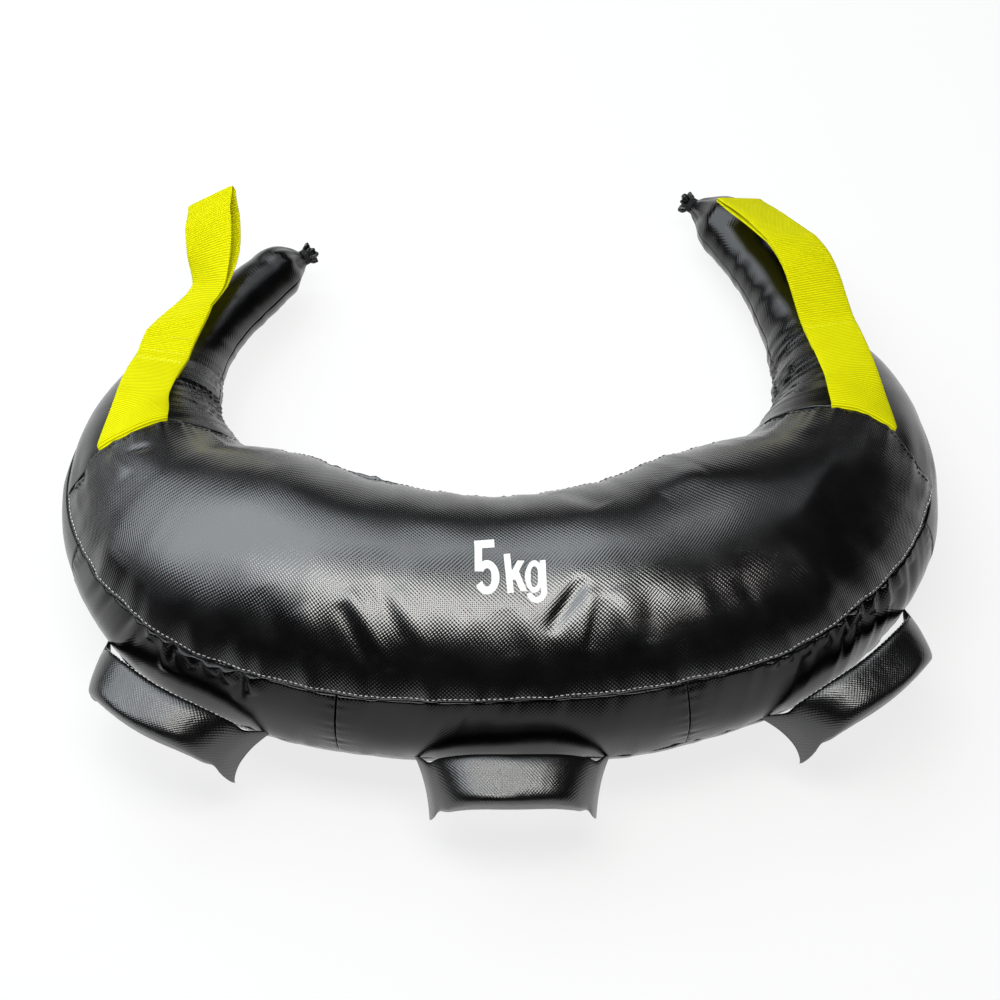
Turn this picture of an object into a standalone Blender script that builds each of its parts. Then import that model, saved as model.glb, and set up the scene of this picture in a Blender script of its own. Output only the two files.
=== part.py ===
"""A crescent-shaped training bag with two horn handles, three padded grips and two hand loops.

The bag lies on its flat underside, with its horns pointing to +Y.  It is one long stuffed tube:
its centreline runs in plan from the left horn's tip, round the belly, to the right horn's tip.
A place on the tube is given by its share of the centreline's length and by its section angle,
which is 0 at the outer side, 90 on top, 180 at the neck side and 270 underneath.
"""
import math

import bmesh
import bpy
import numpy as np
from mathutils import Vector

MM = 0.001

# Driving sizes of the stuffed tube
HALF_SPAN = 242 * MM
REACH = 409 * MM
BELLY_HALF_WIDTH = 95 * MM
BELLY_HALF_HEIGHT = 84 * MM
HORN_RADIUS = 20 * MM
NECK_RADIUS = 5.5 * MM

# Cloth, fits and stuffing
SKIN = 1.5 * MM
SEAM_GAP = 0.4 * MM
FIT_GAP = 0.3 * MM
FILL_GAP = 0.5 * MM
SEAM_ALLOWANCE = 12 * MM

# Tied tips of the horns
BINDING_CORD = 2.6 * MM
TUFT_LENGTH = 11 * MM
TUFT_RADIUS = 8.5 * MM
TUFT_PLEATS = 8
BINDING_TURNS = 2

# Hand loops of doubled webbing
WEBBING_WIDTH = 38 * MM
WEBBING_PLY = 2 * MM
LOOP_LENGTH = 155 * MM
LEFT_EYE = 24 * MM
RIGHT_EYE = 22 * MM
LEFT_TAIL_LIFT = 2 * MM
RIGHT_TAIL_LIFT = 12 * MM

# Padded grips
GRIP_HEIGHT = 40 * MM
GRIP_BODY_HEIGHT = 36 * MM
GRIP_THICKNESS = 25 * MM
GRIP_END_THICKNESS = 6 * MM
GRIP_RISE = 20 * MM
FINGER_GAP = 8 * MM
GRIP_END_DROP_DEG = 48
GRIP_MIDDLE_DROP_DEG = 64

# Stations of the tube: shares of HALF_SPAN, REACH and BELLY_HALF_HEIGHT for the centre,
# then the half width and half height as shares of the girth named last.
STATION_SHARES = (
    (-0.618, 0.868, 0.408, 1.00, 1.00, "neck"),
    (-0.661, 0.848, 0.440, 0.88, 0.85, "horn"),
    (-0.722, 0.806, 0.460, 1.04, 1.00, "horn"),
    (-0.888, 0.650, 0.548, 1.15, 1.10, "horn"),
    (-1.000, 0.408, 0.786, 0.54, 0.54, "belly"),
    (-0.934, 0.236, 0.857, 0.82, 0.77, "belly"),
    (-0.756, 0.122, 0.917, 1.01, 0.94, "belly"),
    (-0.483, 0.042, 0.952, 1.00, 1.00, "belly"),
    (-0.054, 0.000, 0.952, 0.95, 0.99, "belly"),
    (0.388, 0.032, 0.952, 1.00, 1.00, "belly"),
    (0.702, 0.120, 0.917, 1.01, 0.95, "belly"),
    (0.921, 0.247, 0.857, 0.86, 0.80, "belly"),
    (1.000, 0.423, 0.786, 0.59, 0.61, "belly"),
    (0.913, 0.667, 0.548, 1.40, 1.35, "horn"),
    (0.788, 0.850, 0.476, 1.06, 1.02, "horn"),
    (0.667, 0.966, 0.452, 0.90, 0.88, "horn"),
    (0.616, 0.990, 0.429, 1.00, 1.00, "neck"),
)
GIRTHS = {
    "neck": (NECK_RADIUS, NECK_RADIUS),
    "horn": (HORN_RADIUS, HORN_RADIUS),
    "belly": (BELLY_HALF_WIDTH, BELLY_HALF_HEIGHT),
}

# Seams that cross the tube, as shares of the centreline's length
HORN_SEAM_SHARES = (0.226, 0.742)
GUSSET_END_SHARES = (0.262, 0.709)
GUSSET_JOIN_SHARES = (0.406, 0.567)
TIP_SHARE = 0.0125

# Seams that run along the tube: share of its length, then section angle in degrees
OUTER_SEAM_SHARES = (
    (0.0, 8), (0.15, 8), (0.228, 22), (0.262, 27), (0.30, 30), (0.345, 27), (0.42, 27), (0.50, 30),
    (0.57, 30), (0.61, 28), (0.66, 30), (0.709, 29), (0.74, 27), (0.85, 8), (1.0, 8),
)
NECK_SEAM_SHARES = (
    (0.0, 172), (0.17, 170), (0.262, 158), (0.33, 153), (0.63, 153), (0.709, 158), (0.83, 170),
    (1.0, 172),
)
LOWER_SEAM_DEG = -15

# Facets: steps round the upper panel, the gusset and the under panel, and along the tube
UPPER_STEPS = 9
SIDE_STEPS = 3
UNDER_STEPS = 13
STATION_COUNTS = (2, 8, 2, 7, 7, 7, 2, 9, 2)
RIBBON_STEPS = 10
EYE_STEPS = 11
GRIP_STEPS = 10
GRIP_SIDES = 12
CORD_SIDES = 16
CORD_FACET_DEG = (20, 90, 160)
STRIP_CAP_DEG = (10, 35, 60)
EYE_CAP_DEG = (60, 30, 0, -30, -60)

# Steps over which directions on the tube and along a loop are taken
SMALL_SHARE = 0.001
LOOP_STEP_SHARE = 0.01
SMALL_TURN_DEG = 0.5

# Places of the straps and grips: length share and section angle on the tube for the roots and
# tails; shares of LOOP_LENGTH in X, Y and Z for the loops
STRAPS = {
    "left": {
        "root_shares": (0.2265, 82),
        "tail_shares": (0.152, 87),
        "lift": LEFT_TAIL_LIFT,
        "eye": LEFT_EYE,
        "bend_shares": (0.18, 0.48, -0.07),
        "top_shares": (0.175, 0.94, -0.01),
        "width_shares": (0.95, 0.00, 0.31),
    },
    "right": {
        "root_shares": (0.7415, 82),
        "tail_shares": (0.828, 87),
        "lift": RIGHT_TAIL_LIFT,
        "eye": RIGHT_EYE,
        "bend_shares": (-0.11, 0.36, 0.05),
        "top_shares": (-0.35, 0.85, -0.145),
        "width_shares": (0.93, 0.20, -0.30),
    },
}
GRIP_SHARES = {"left": (0.289, 0.374), "center": (0.441, 0.533), "right": (0.604, 0.689)}
GRIP_TAPER_SHARE = 0.14
TAIL_BOW_DEG = 7
SEWN_SHARE = 0.12
PLEAT_SHARE = 0.16
ANCHOR_SPAN_DEG = 30
SHARP_DEG = 50

MATERIALS = {
    "vinyl": ((0.012, 0.012, 0.014), 0.32),
    "webbing": ((0.86, 0.80, 0.01), 0.75),
    "liner": ((0.55, 0.52, 0.45), 0.9),
    "foam": ((0.16, 0.16, 0.17), 0.95),
    "thread": ((0.02, 0.02, 0.02), 0.6),
}


def clear_scene():
    """Remove every object that the scene starts with."""
    for item in list(bpy.data.objects):
        bpy.data.objects.remove(item, do_unlink=True)


def unit(vector):
    """The vector at length one."""
    vector = np.asarray(vector, float)
    return vector / np.linalg.norm(vector)


def smooth_curve(at, knots, values):
    """Cubic curve through the values, with slopes taken from their neighbours."""
    values = np.asarray(values, float)
    slopes = np.gradient(values, knots, axis=0)
    i = int(np.clip(np.searchsorted(knots, at, side="right") - 1, 0, len(knots) - 2))
    step = knots[i + 1] - knots[i]
    t = (at - knots[i]) / step
    start = (1 + 2 * t) * (1 - t) ** 2 * values[i] + t * (1 - t) ** 2 * step * slopes[i]
    end = t * t * (3 - 2 * t) * values[i + 1] + t * t * (t - 1) * step * slopes[i + 1]
    return start + end


class Tube:
    """The stuffed tube's outer surface."""

    def __init__(self):
        scale = np.array([HALF_SPAN, REACH, BELLY_HALF_HEIGHT])
        self.centres = np.array([row[:3] for row in STATION_SHARES]) * scale
        girths = [GIRTHS[row[5]] for row in STATION_SHARES]
        self.widths = [row[3] * girth[0] for row, girth in zip(STATION_SHARES, girths)]
        self.heights = [row[4] * girth[1] for row, girth in zip(STATION_SHARES, girths)]
        chords = np.linalg.norm(np.diff(self.centres, axis=0), axis=1)
        self.length = float(chords.sum())
        self.knots = np.concatenate([[0.0], np.cumsum(chords)]) / self.length

    def centre(self, share):
        """The centreline's point at a share of its length."""
        return smooth_curve(share, self.knots, self.centres)

    def directions(self, share):
        """Level unit vectors along the tube and out of its outer side."""
        ahead = (self.centre(min(share + SMALL_SHARE, 1.0))
                 - self.centre(max(share - SMALL_SHARE, 0.0)))
        along = unit([ahead[0], ahead[1], 0.0])
        return along, np.array([along[1], -along[0], 0.0])

    def half_sizes(self, share):
        """Half width and half height of the section."""
        return (float(smooth_curve(share, self.knots, self.widths)),
                float(smooth_curve(share, self.knots, self.heights)))

    def point(self, share, degrees, offset=0.0):
        """A point of the surface, moved out by the offset and kept above the floor."""
        outward = self.directions(share)[1]
        width, height = self.half_sizes(share)
        angle = math.radians(degrees)
        place = self.centre(share) + outward * (width + offset) * math.cos(angle)
        place[2] = max(place[2] + (height + offset) * math.sin(angle), -offset)
        return place

    def normal(self, share, degrees):
        """Unit vector out of the surface."""
        round_it = (self.point(share, degrees + SMALL_TURN_DEG)
                    - self.point(share, degrees - SMALL_TURN_DEG))
        along_it = (self.point(share + SMALL_SHARE, degrees)
                    - self.point(share - SMALL_SHARE, degrees))
        return unit(np.cross(along_it, round_it))

    def gap_angle(self, share, degrees, gap):
        """The section angle that spans a gap at this place, in degrees."""
        width, height = self.half_sizes(share)
        angle = math.radians(degrees)
        return math.degrees(gap / math.hypot(width * math.sin(angle), height * math.cos(angle)))


TUBE = Tube()


def seam_angle(seam, share):
    """Section angle of a lengthwise seam at a share of the length."""
    return float(np.interp(share, [row[0] for row in seam], [row[1] for row in seam]))


def ring_angles(share):
    """Section angles of the facets round the tube, for its upper, under and gusset bands."""
    outer = seam_angle(OUTER_SEAM_SHARES, share)
    neck = seam_angle(NECK_SEAM_SHARES, share)
    lower = 360 + LOWER_SEAM_DEG
    return {
        "upper": np.linspace(outer, neck, UPPER_STEPS + 1),
        "under": np.linspace(neck, lower, UNDER_STEPS + 1),
        "gusset": np.linspace(lower, 360 + outer, SIDE_STEPS + 1),
    }


def length_shares():
    """Every station along the tube, with one at each seam that crosses it."""
    marks = (0.0, TIP_SHARE, HORN_SEAM_SHARES[0], GUSSET_END_SHARES[0], *GUSSET_JOIN_SHARES,
             GUSSET_END_SHARES[1], HORN_SEAM_SHARES[1], 1.0 - TIP_SHARE, 1.0)
    shares = []
    for start, end, steps in zip(marks, marks[1:], STATION_COUNTS):
        shares.extend(np.linspace(start, end, steps + 1)[:-1])
    return shares + [1.0]


LENGTH_SHARES = length_shares()


def stations(start, end, start_gap=SEAM_GAP / 2, end_gap=SEAM_GAP / 2):
    """The stations from one place to another, drawn in by a gap at each end."""
    inside = [share for share in LENGTH_SHARES if start < share < end]
    return [start + start_gap / TUBE.length, *inside, end - end_gap / TUBE.length]


def band_angles(share, bands):
    """Facet angles over neighbouring bands, drawn in by half a seam gap at both edges."""
    rings = ring_angles(share)
    angles = list(rings[bands[0]])
    for band in bands[1:]:
        angles.extend(rings[band][1:])
    angles[0] += TUBE.gap_angle(share, angles[0], SEAM_GAP / 2)
    angles[-1] -= TUBE.gap_angle(share, angles[-1], SEAM_GAP / 2)
    return angles


def strip_faces(first, second, closed=True):
    """Triangles between two rows of vertex numbers."""
    count = len(first)
    faces = []
    for i in range(count if closed else count - 1):
        j = (i + 1) % count
        faces.append((first[i], second[i], second[j]))
        faces.append((first[i], second[j], first[j]))
    return faces


def number_rows(rows):
    """Flat list of points, and the vertex numbers of each row."""
    points = []
    numbers = []
    for row in rows:
        numbers.append(list(range(len(points), len(points) + len(row))))
        points.extend(row)
    return points, numbers


def rim(rows):
    """Vertex numbers round the edge of a grid."""
    right = [row[-1] for row in rows[1:-1]]
    left = [row[0] for row in rows[-2:0:-1]]
    return rows[0] + right + rows[-1][::-1] + left


def sheet_solid(outer, inner):
    """Closed solid between two matching grids of points."""
    points, numbers = number_rows([*outer, *inner])
    top = numbers[:len(outer)]
    bottom = numbers[len(outer):]
    faces = []
    for a, b in zip(top, top[1:]):
        faces.extend(strip_faces(a, b, closed=False))
    for a, b in zip(bottom, bottom[1:]):
        faces.extend([face[::-1] for face in strip_faces(a, b, closed=False)])
    faces.extend(strip_faces(rim(bottom), rim(top)))
    return points, faces


def loft_solid(rings):
    """Closed solid through rings of points, with a fan over each end."""
    points, numbers = number_rows(rings)
    faces = []
    for a, b in zip(numbers, numbers[1:]):
        faces.extend(strip_faces(a, b))
    for ring in (numbers[0], numbers[-1]):
        centre = len(points)
        points.append(np.mean([points[i] for i in ring], axis=0))
        faces.extend([(ring[i], ring[(i + 1) % len(ring)], centre) for i in range(len(ring))])
    return points, faces


def pipe_solid(outer, inner):
    """Closed solid of a pipe, open at both ends, through matching outer and inner rings."""
    points, numbers = number_rows([*outer, *inner])
    wall = numbers[:len(outer)]
    bore = numbers[len(outer):]
    faces = []
    for a, b in zip(wall, wall[1:]):
        faces.extend(strip_faces(a, b))
    for a, b in zip(bore, bore[1:]):
        faces.extend([face[::-1] for face in strip_faces(a, b)])
    faces.extend(strip_faces(bore[0], wall[0]))
    faces.extend(strip_faces(wall[-1], bore[-1]))
    return points, faces


def band_solid(rings):
    """Closed solid whose rings join up end to end, like a tyre."""
    points, numbers = number_rows(rings)
    faces = []
    for a, b in zip(numbers, numbers[1:] + numbers[:1]):
        faces.extend(strip_faces(a, b))
    return points, faces


def make_materials():
    """One Principled material for each finish."""
    made = {}
    for name, (colour, roughness) in MATERIALS.items():
        material = bpy.data.materials.new(name)
        material.use_nodes = True
        shader = material.node_tree.nodes["Principled BSDF"]
        shader.inputs["Base Color"].default_value = (*colour, 1.0)
        shader.inputs["Roughness"].default_value = roughness
        shader.inputs["Metallic"].default_value = 0.0
        made[name] = material
    return made


clear_scene()
MATERIAL = make_materials()
PIVOTS = {}


def add_hinge(name, place, axis, parent=None):
    """An empty on a joint's axis, which carries the pieces that turn with it."""
    empty = bpy.data.objects.new(name, None)
    bpy.context.collection.objects.link(empty)
    base = PIVOTS[parent][1] if parent else np.zeros(3)
    if parent:
        empty.parent = PIVOTS[parent][0]
    empty.location = Vector(place - base)
    PIVOTS[name] = (empty, np.array(place, float), unit(axis))


def add_piece(name, solid, material, hinge=None):
    """An object made from points and faces, with its origin on its hinge if it has one."""
    points, faces = solid
    base = PIVOTS[hinge][1] if hinge else np.zeros(3)
    mesh = bpy.data.meshes.new(name)
    mesh.from_pydata([tuple(point - base) for point in points], [], faces)
    work = bmesh.new()
    work.from_mesh(mesh)
    bmesh.ops.recalc_face_normals(work, faces=work.faces)
    work.to_mesh(mesh)
    work.free()
    mesh.materials.append(MATERIAL[material])
    mesh.shade_smooth()
    mesh.set_sharp_from_angle(angle=math.radians(SHARP_DEG))
    piece = bpy.data.objects.new(name, mesh)
    bpy.context.collection.objects.link(piece)
    if hinge:
        piece.parent = PIVOTS[hinge][0]


def make_panel(name, start, end, bands):
    """One sewn panel of the vinyl skin."""
    shares = stations(start, end)
    grids = []
    for offset in (0.0, -SKIN):
        grids.append([[TUBE.point(share, angle, offset) for angle in band_angles(share, bands)]
                      for share in shares])
    add_piece(name, sheet_solid(*grids), "vinyl")


def make_skin():
    """The vinyl panels of the belly and of the horns."""
    left, right = HORN_SEAM_SHARES
    first, last = GUSSET_END_SHARES
    join_left, join_right = GUSSET_JOIN_SHARES
    make_panel("top_panel", left, right, ["upper"])
    make_panel("bottom_panel", first, last, ["under"])
    make_panel("gusset_left", first, join_left, ["gusset"])
    make_panel("gusset_center", join_left, join_right, ["gusset"])
    make_panel("gusset_right", join_right, last, ["gusset"])
    make_panel("horn_left_upper", 0.0, left, ["upper"])
    make_panel("horn_left_under", 0.0, first, ["under", "gusset"])
    make_panel("horn_right_upper", right, 1.0, ["upper"])
    make_panel("horn_right_under", last, 1.0, ["under", "gusset"])


def fill_ring(share):
    """One ring of the filling, just inside the skin."""
    rings = ring_angles(share)
    angles = [*rings["upper"][:-1], *rings["under"][:-1], *rings["gusset"][:-1]]
    return [TUBE.point(share, angle, -SKIN - FILL_GAP) for angle in angles]


def make_filling():
    """The filled liner of the belly and the stuffing of each horn."""
    left, right = HORN_SEAM_SHARES
    half_slot = WEBBING_PLY + FIT_GAP
    belly = [fill_ring(share) for share in stations(left, right, half_slot, half_slot)]
    add_piece("filler_bag", loft_solid(belly), "liner")
    left_horn = [fill_ring(share) for share in stations(TIP_SHARE, left, 0.0, half_slot)]
    add_piece("horn_left_stuffing", loft_solid(left_horn), "liner")
    right_horn = [fill_ring(share) for share in stations(right, 1.0 - TIP_SHARE, half_slot, 0.0)]
    add_piece("horn_right_stuffing", loft_solid(right_horn), "liner")


def tip_frame(share):
    """Centre of a horn's open end, the way out of it, and two vectors across it."""
    outward_sign = -1.0 if share == 0.0 else 1.0
    along, across = TUBE.directions(share)
    return TUBE.centre(share), along * outward_sign, across, np.array([0.0, 0.0, 1.0])


def turned_ring(frame, distance, radii):
    """A ring of points round a tip's axis, one for each radius."""
    centre, along, across, up = frame
    step = 2 * math.pi / len(radii)
    ring = []
    for i, radius in enumerate(radii):
        spoke = across * math.cos(i * step) + up * math.sin(i * step)
        ring.append(centre + along * distance + spoke * radius)
    return ring


def make_tip(side, share):
    """The tied end of a horn: a cord binding round the pleated tuft of gathered vinyl."""
    frame = tip_frame(share)
    cord = BINDING_CORD / 2
    stem = NECK_RADIUS - cord
    tie_length = BINDING_TURNS * BINDING_CORD
    tied = FIT_GAP + tie_length
    points_round = 4 * TUFT_PLEATS
    fold = [math.cos(math.pi * i / 2) for i in range(points_round)]
    tuft = []
    for distance, radius, depth in (
        (FIT_GAP, stem, 0.0),
        (tied, stem, 0.0),
        (tied + TUFT_LENGTH / 3, TUFT_RADIUS, PLEAT_SHARE),
        (tied + TUFT_LENGTH, TUFT_RADIUS, PLEAT_SHARE),
    ):
        radii = [radius * (1 - depth + depth * wave) for wave in fold]
        tuft.append(turned_ring(frame, distance, radii))
    add_piece(f"horn_{side}_tuft", loft_solid(tuft), "vinyl")
    bore = stem + FIT_GAP
    profile = [(FIT_GAP, bore), (tied, bore)]
    for turn in reversed(range(BINDING_TURNS)):
        middle = FIT_GAP + (turn + 0.5) * BINDING_CORD
        for degrees in CORD_FACET_DEG:
            angle = math.radians(degrees)
            crest = bore + cord + cord * math.sin(angle)
            profile.append((middle + cord * math.cos(angle), crest))
    rings = [turned_ring(frame, distance, [radius] * CORD_SIDES) for distance, radius in profile]
    add_piece(f"horn_{side}_binding", band_solid(rings), "thread")


class Frame:
    """A place on a ribbon: its centre, and unit vectors along, out of and across it."""

    def __init__(self, centre, along, across):
        self.centre = np.array(centre, float)
        self.across = unit(across)
        self.along = unit(along - np.dot(along, self.across) * self.across)
        self.out = np.cross(self.across, self.along)

    def at(self, ahead, lift, side=0.0):
        """A point near the frame's centre."""
        return self.centre + self.along * ahead + self.out * lift + self.across * side


def tail_frames(strap):
    """Frames along a strap's sewn-down stretch, from its seam to its bar tack."""
    (share_0, angle_0), (share_1, angle_1) = strap["root_shares"], strap["tail_shares"]
    centres = []
    normals = []
    for step in range(RIBBON_STEPS + 1):
        t = step / RIBBON_STEPS
        share = share_0 + (share_1 - share_0) * t
        angle = angle_0 + (angle_1 - angle_0) * t + TAIL_BOW_DEG * math.sin(math.pi * t)
        normal = TUBE.normal(share, angle)
        lift = WEBBING_PLY + FIT_GAP + strap["lift"] * t
        centres.append(TUBE.point(share, angle) + normal * lift)
        normals.append(normal)
    alongs = np.gradient(np.array(centres), axis=0)
    return [Frame(centre, along, np.cross(along, normal))
            for centre, along, normal in zip(centres, alongs, normals)]


def rounded_strip(frames, thickness, width):
    """A flat strip with both ends rounded off about the first and last frame."""
    radius = thickness / 2
    cap = [(math.cos(math.radians(a)), math.sin(math.radians(a))) for a in STRIP_CAP_DEG]
    rings = []
    for reach, half in cap:
        rings.append(rectangle(frames[0], -reach * radius, half * radius, width))
    for frame in frames:
        rings.append(rectangle(frame, 0.0, radius, width))
    for reach, half in reversed(cap):
        rings.append(rectangle(frames[-1], reach * radius, half * radius, width))
    return loft_solid(rings)


def rectangle(frame, ahead, half, width):
    """Corners of a strip's cross-section."""
    side = width / 2
    return [frame.at(ahead, half, -side), frame.at(ahead, half, side),
            frame.at(ahead, -half, side), frame.at(ahead, -half, -side)]


def loop_frames(strap, tail_end):
    """Frames along a hand loop, from its bar tack to its far end."""
    knots = (0.0, strap["bend_shares"][1] / strap["top_shares"][1], 1.0)
    places = np.array([(0.0, 0.0, 0.0), strap["bend_shares"], strap["top_shares"]]) * LOOP_LENGTH
    far_across = np.array(strap["width_shares"])
    start = tail_end.centre + tail_end.along * (WEBBING_PLY * 2 + FIT_GAP)
    frames = []
    for step in range(EYE_STEPS + 1):
        t = step / EYE_STEPS
        centre = start + smooth_curve(t, knots, places)
        ahead = (smooth_curve(min(t + LOOP_STEP_SHARE, 1.0), knots, places)
                 - smooth_curve(max(t - LOOP_STEP_SHARE, 0.0), knots, places))
        blend = t * t * (3 - 2 * t)
        frames.append(Frame(centre, ahead, tail_end.across * (1 - blend) + far_across * blend))
    return frames


def eye_solid(frames, eye):
    """The closed band of a hand loop: two plies, sewn at the bar tack and parted beyond it."""
    least = FIT_GAP / 2
    halves = []
    for step in range(len(frames)):
        t = step / EYE_STEPS
        opening = min(max((t - SEWN_SHARE) / (1 - SEWN_SHARE), 0.0), 1.0)
        halves.append(least + (eye / 2 - least) * math.sin(opening * math.pi / 2))
    outer = []
    inner = []
    for sign in (1, -1):
        order = range(len(frames)) if sign == 1 else reversed(range(len(frames)))
        for step in order:
            outer.append((frames[step], 0.0, sign * (halves[step] + WEBBING_PLY)))
            hole = max(step, 1)
            inner.append((frames[hole], 0.0, sign * halves[hole]))
        end = frames[-1] if sign == 1 else frames[0]
        hole_end = frames[-1] if sign == 1 else frames[1]
        half = halves[-1] if sign == 1 else halves[0]
        half_turn = 0 if sign == 1 else 180
        for degrees in EYE_CAP_DEG:
            angle = math.radians(degrees - half_turn)
            wide = half + WEBBING_PLY
            outer.append((end, wide * math.cos(angle), wide * math.sin(angle)))
            inner.append((hole_end, half * math.cos(angle), half * math.sin(angle)))
    rings = []
    for out_place, in_place in zip(outer, inner):
        ring = []
        for place, side in ((out_place, -1), (out_place, 1), (in_place, 1), (in_place, -1)):
            frame, ahead, lift = place
            ring.append(frame.at(ahead, lift, side * WEBBING_WIDTH / 2))
        rings.append(ring)
    return band_solid(rings)


def anchor_solid(strap, seam_share):
    """The strap's sewn-in end: it points into the bag through the slot between the fillings."""
    angle = strap["root_shares"][1]
    along = TUBE.directions(seam_share)[0]
    surface = TUBE.point(seam_share, angle)
    normal = TUBE.normal(seam_share, angle)
    inward = unit(normal - np.dot(normal, along) * along)
    across = np.cross(along, inward)
    turns = range(-ANCHOR_SPAN_DEG, ANCHOR_SPAN_DEG + 1)
    nearby = [TUBE.point(seam_share, angle + turn, -SKIN) - surface for turn in turns]
    reach = WEBBING_WIDTH / 2
    depth = min(np.dot(place, inward) for place in nearby if abs(np.dot(place, across)) < reach)
    top = depth - FIT_GAP - SKIN
    rings = []
    for level in (top, top - SEAM_ALLOWANCE):
        rings.append([surface + inward * level + across * side * reach + along * end * WEBBING_PLY
                      for side, end in ((-1, -1), (1, -1), (1, 1), (-1, 1))])
    return loft_solid(rings)


def make_strap(side, seam_share):
    """A webbing strap: its sewn-in end, its doubled tail and its hand loop."""
    strap = STRAPS[side]
    frames = tail_frames(strap)
    tail = f"strap_{side}_tail"
    loop = f"strap_{side}_loop"
    add_hinge(f"{tail}_hinge", frames[0].centre, frames[0].across)
    add_piece(tail, rounded_strip(frames, 2 * WEBBING_PLY, WEBBING_WIDTH), "webbing", f"{tail}_hinge")
    ring = loop_frames(strap, frames[-1])
    add_hinge(f"{loop}_hinge", ring[0].centre, ring[0].across, f"{tail}_hinge")
    add_piece(loop, eye_solid(ring, strap["eye"]), "webbing", f"{loop}_hinge")
    add_piece(f"strap_{side}_anchor", anchor_solid(strap, seam_share), "webbing")


class Grip:
    """A padded grip, sewn to the lower seam at its two upper corners."""

    def __init__(self, shares):
        radius = GRIP_END_THICKNESS / 2
        stand_off = radius + FIT_GAP
        corners = []
        for share in shares:
            corners.append(TUBE.point(share, LOWER_SEAM_DEG, stand_off))
        self.start, self.end = corners
        self.along = unit(self.end - self.start)
        self.out = unit(np.cross(self.along, (0.0, 0.0, 1.0)))
        self.up = np.cross(self.out, self.along)
        self.half_length = np.linalg.norm(self.end - self.start) / 2
        self.middle = (self.start + self.end) / 2
        mid_share = sum(shares) / 2
        belly = TUBE.point(mid_share, 0.0)
        self.belly_out = float(np.dot(belly - self.middle, self.out))

    def section(self, v, inset):
        """Points round the grip at v, from -1 at one end to 1 at the other."""
        fullness = 1 - v * v
        plump = 1 - v ** 4
        height = GRIP_HEIGHT + (GRIP_BODY_HEIGHT - GRIP_HEIGHT) * fullness
        thick = GRIP_END_THICKNESS + (GRIP_THICKNESS - GRIP_END_THICKNESS) * plump
        end_drop = math.radians(GRIP_END_DROP_DEG)
        middle_drop = math.radians(GRIP_MIDDLE_DROP_DEG)
        drop = end_drop + (middle_drop - end_drop) * fullness
        hang = math.cos(drop) * self.out - math.sin(drop) * self.up
        face = math.sin(drop) * self.out + math.cos(drop) * self.up
        end_reach = (GRIP_HEIGHT - GRIP_END_THICKNESS) / 2
        end_place = end_reach * (math.cos(end_drop) * self.out - math.sin(end_drop) * self.up)
        straight = (GRIP_BODY_HEIGHT - GRIP_THICKNESS) / 2
        support = straight * math.cos(middle_drop) + GRIP_THICKNESS / 2
        middle_place = (self.belly_out + FINGER_GAP + support) * self.out + GRIP_RISE * self.up
        centre = self.middle + end_place * (1 - fullness) + middle_place * fullness
        round_half = thick / 2 - inset
        straight_half = (height - thick) / 2
        points = []
        for step in range(GRIP_SIDES):
            angle = 2 * math.pi * (step + 0.5) / GRIP_SIDES
            level = math.copysign(straight_half, math.cos(angle)) + round_half * math.cos(angle)
            side = round_half * math.sin(angle)
            taper = 1 - GRIP_TAPER_SHARE * (level + height / 2) / height
            reach = v * self.half_length * taper
            points.append(centre + level * hang + side * face + reach * self.along)
        return points


def make_grip(side):
    """A grip: its vinyl sleeve, open at both flattened ends, and the foam rod inside."""
    grip = Grip(GRIP_SHARES[side])
    hinge = f"grip_{side}_hinge"
    add_hinge(hinge, grip.middle, -grip.along)
    places = [math.sin(math.pi * (step / GRIP_STEPS - 0.5)) for step in range(GRIP_STEPS + 1)]
    outer = [grip.section(v, 0.0) for v in places]
    inner = [grip.section(v, SKIN) for v in places]
    add_piece(f"grip_{side}_sleeve", pipe_solid(outer, inner), "vinyl", hinge)
    core = [grip.section(v, SKIN + FILL_GAP) for v in places[1:-1]]
    add_piece(f"grip_{side}_core", loft_solid(core), "foam", hinge)


def centre_on_floor():
    """Move the whole bag so that its box stands centred on the origin."""
    bpy.context.view_layer.update()
    pieces = [item for item in bpy.data.objects if item.type == "MESH"]
    corners = [item.matrix_world @ vertex.co for item in pieces for vertex in item.data.vertices]
    low = np.min(corners, axis=0)
    high = np.max(corners, axis=0)
    shift = -np.array([(low[0] + high[0]) / 2, (low[1] + high[1]) / 2, low[2]])
    for item in bpy.data.objects:
        if item.parent is None:
            item.location += Vector(shift)
    for name, (_, place, axis) in PIVOTS.items():
        print(name, "at", np.round(place + shift, 5), "axis", np.round(axis, 5))
    print("moved by", np.round(shift, 5), "size", np.round(high - low, 4))


def build():
    """Make every piece of the bag."""
    make_skin()
    make_filling()
    make_tip("left", 0.0)
    make_tip("right", 1.0)
    make_strap("left", HORN_SEAM_SHARES[0])
    make_strap("right", HORN_SEAM_SHARES[1])
    for side in GRIP_SHARES:
        make_grip(side)
    centre_on_floor()


build()
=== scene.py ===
"""Looks of the crescent training bag: embossed vinyl, tied horns, webbing hand loops, padded grips.

A place on the bag's skin is given by its share of the tube's length and its section angle, as in
the CAD source: 0 is the outer side, 90 the top, 180 the neck side and 270 underneath.
"""

import math

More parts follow.
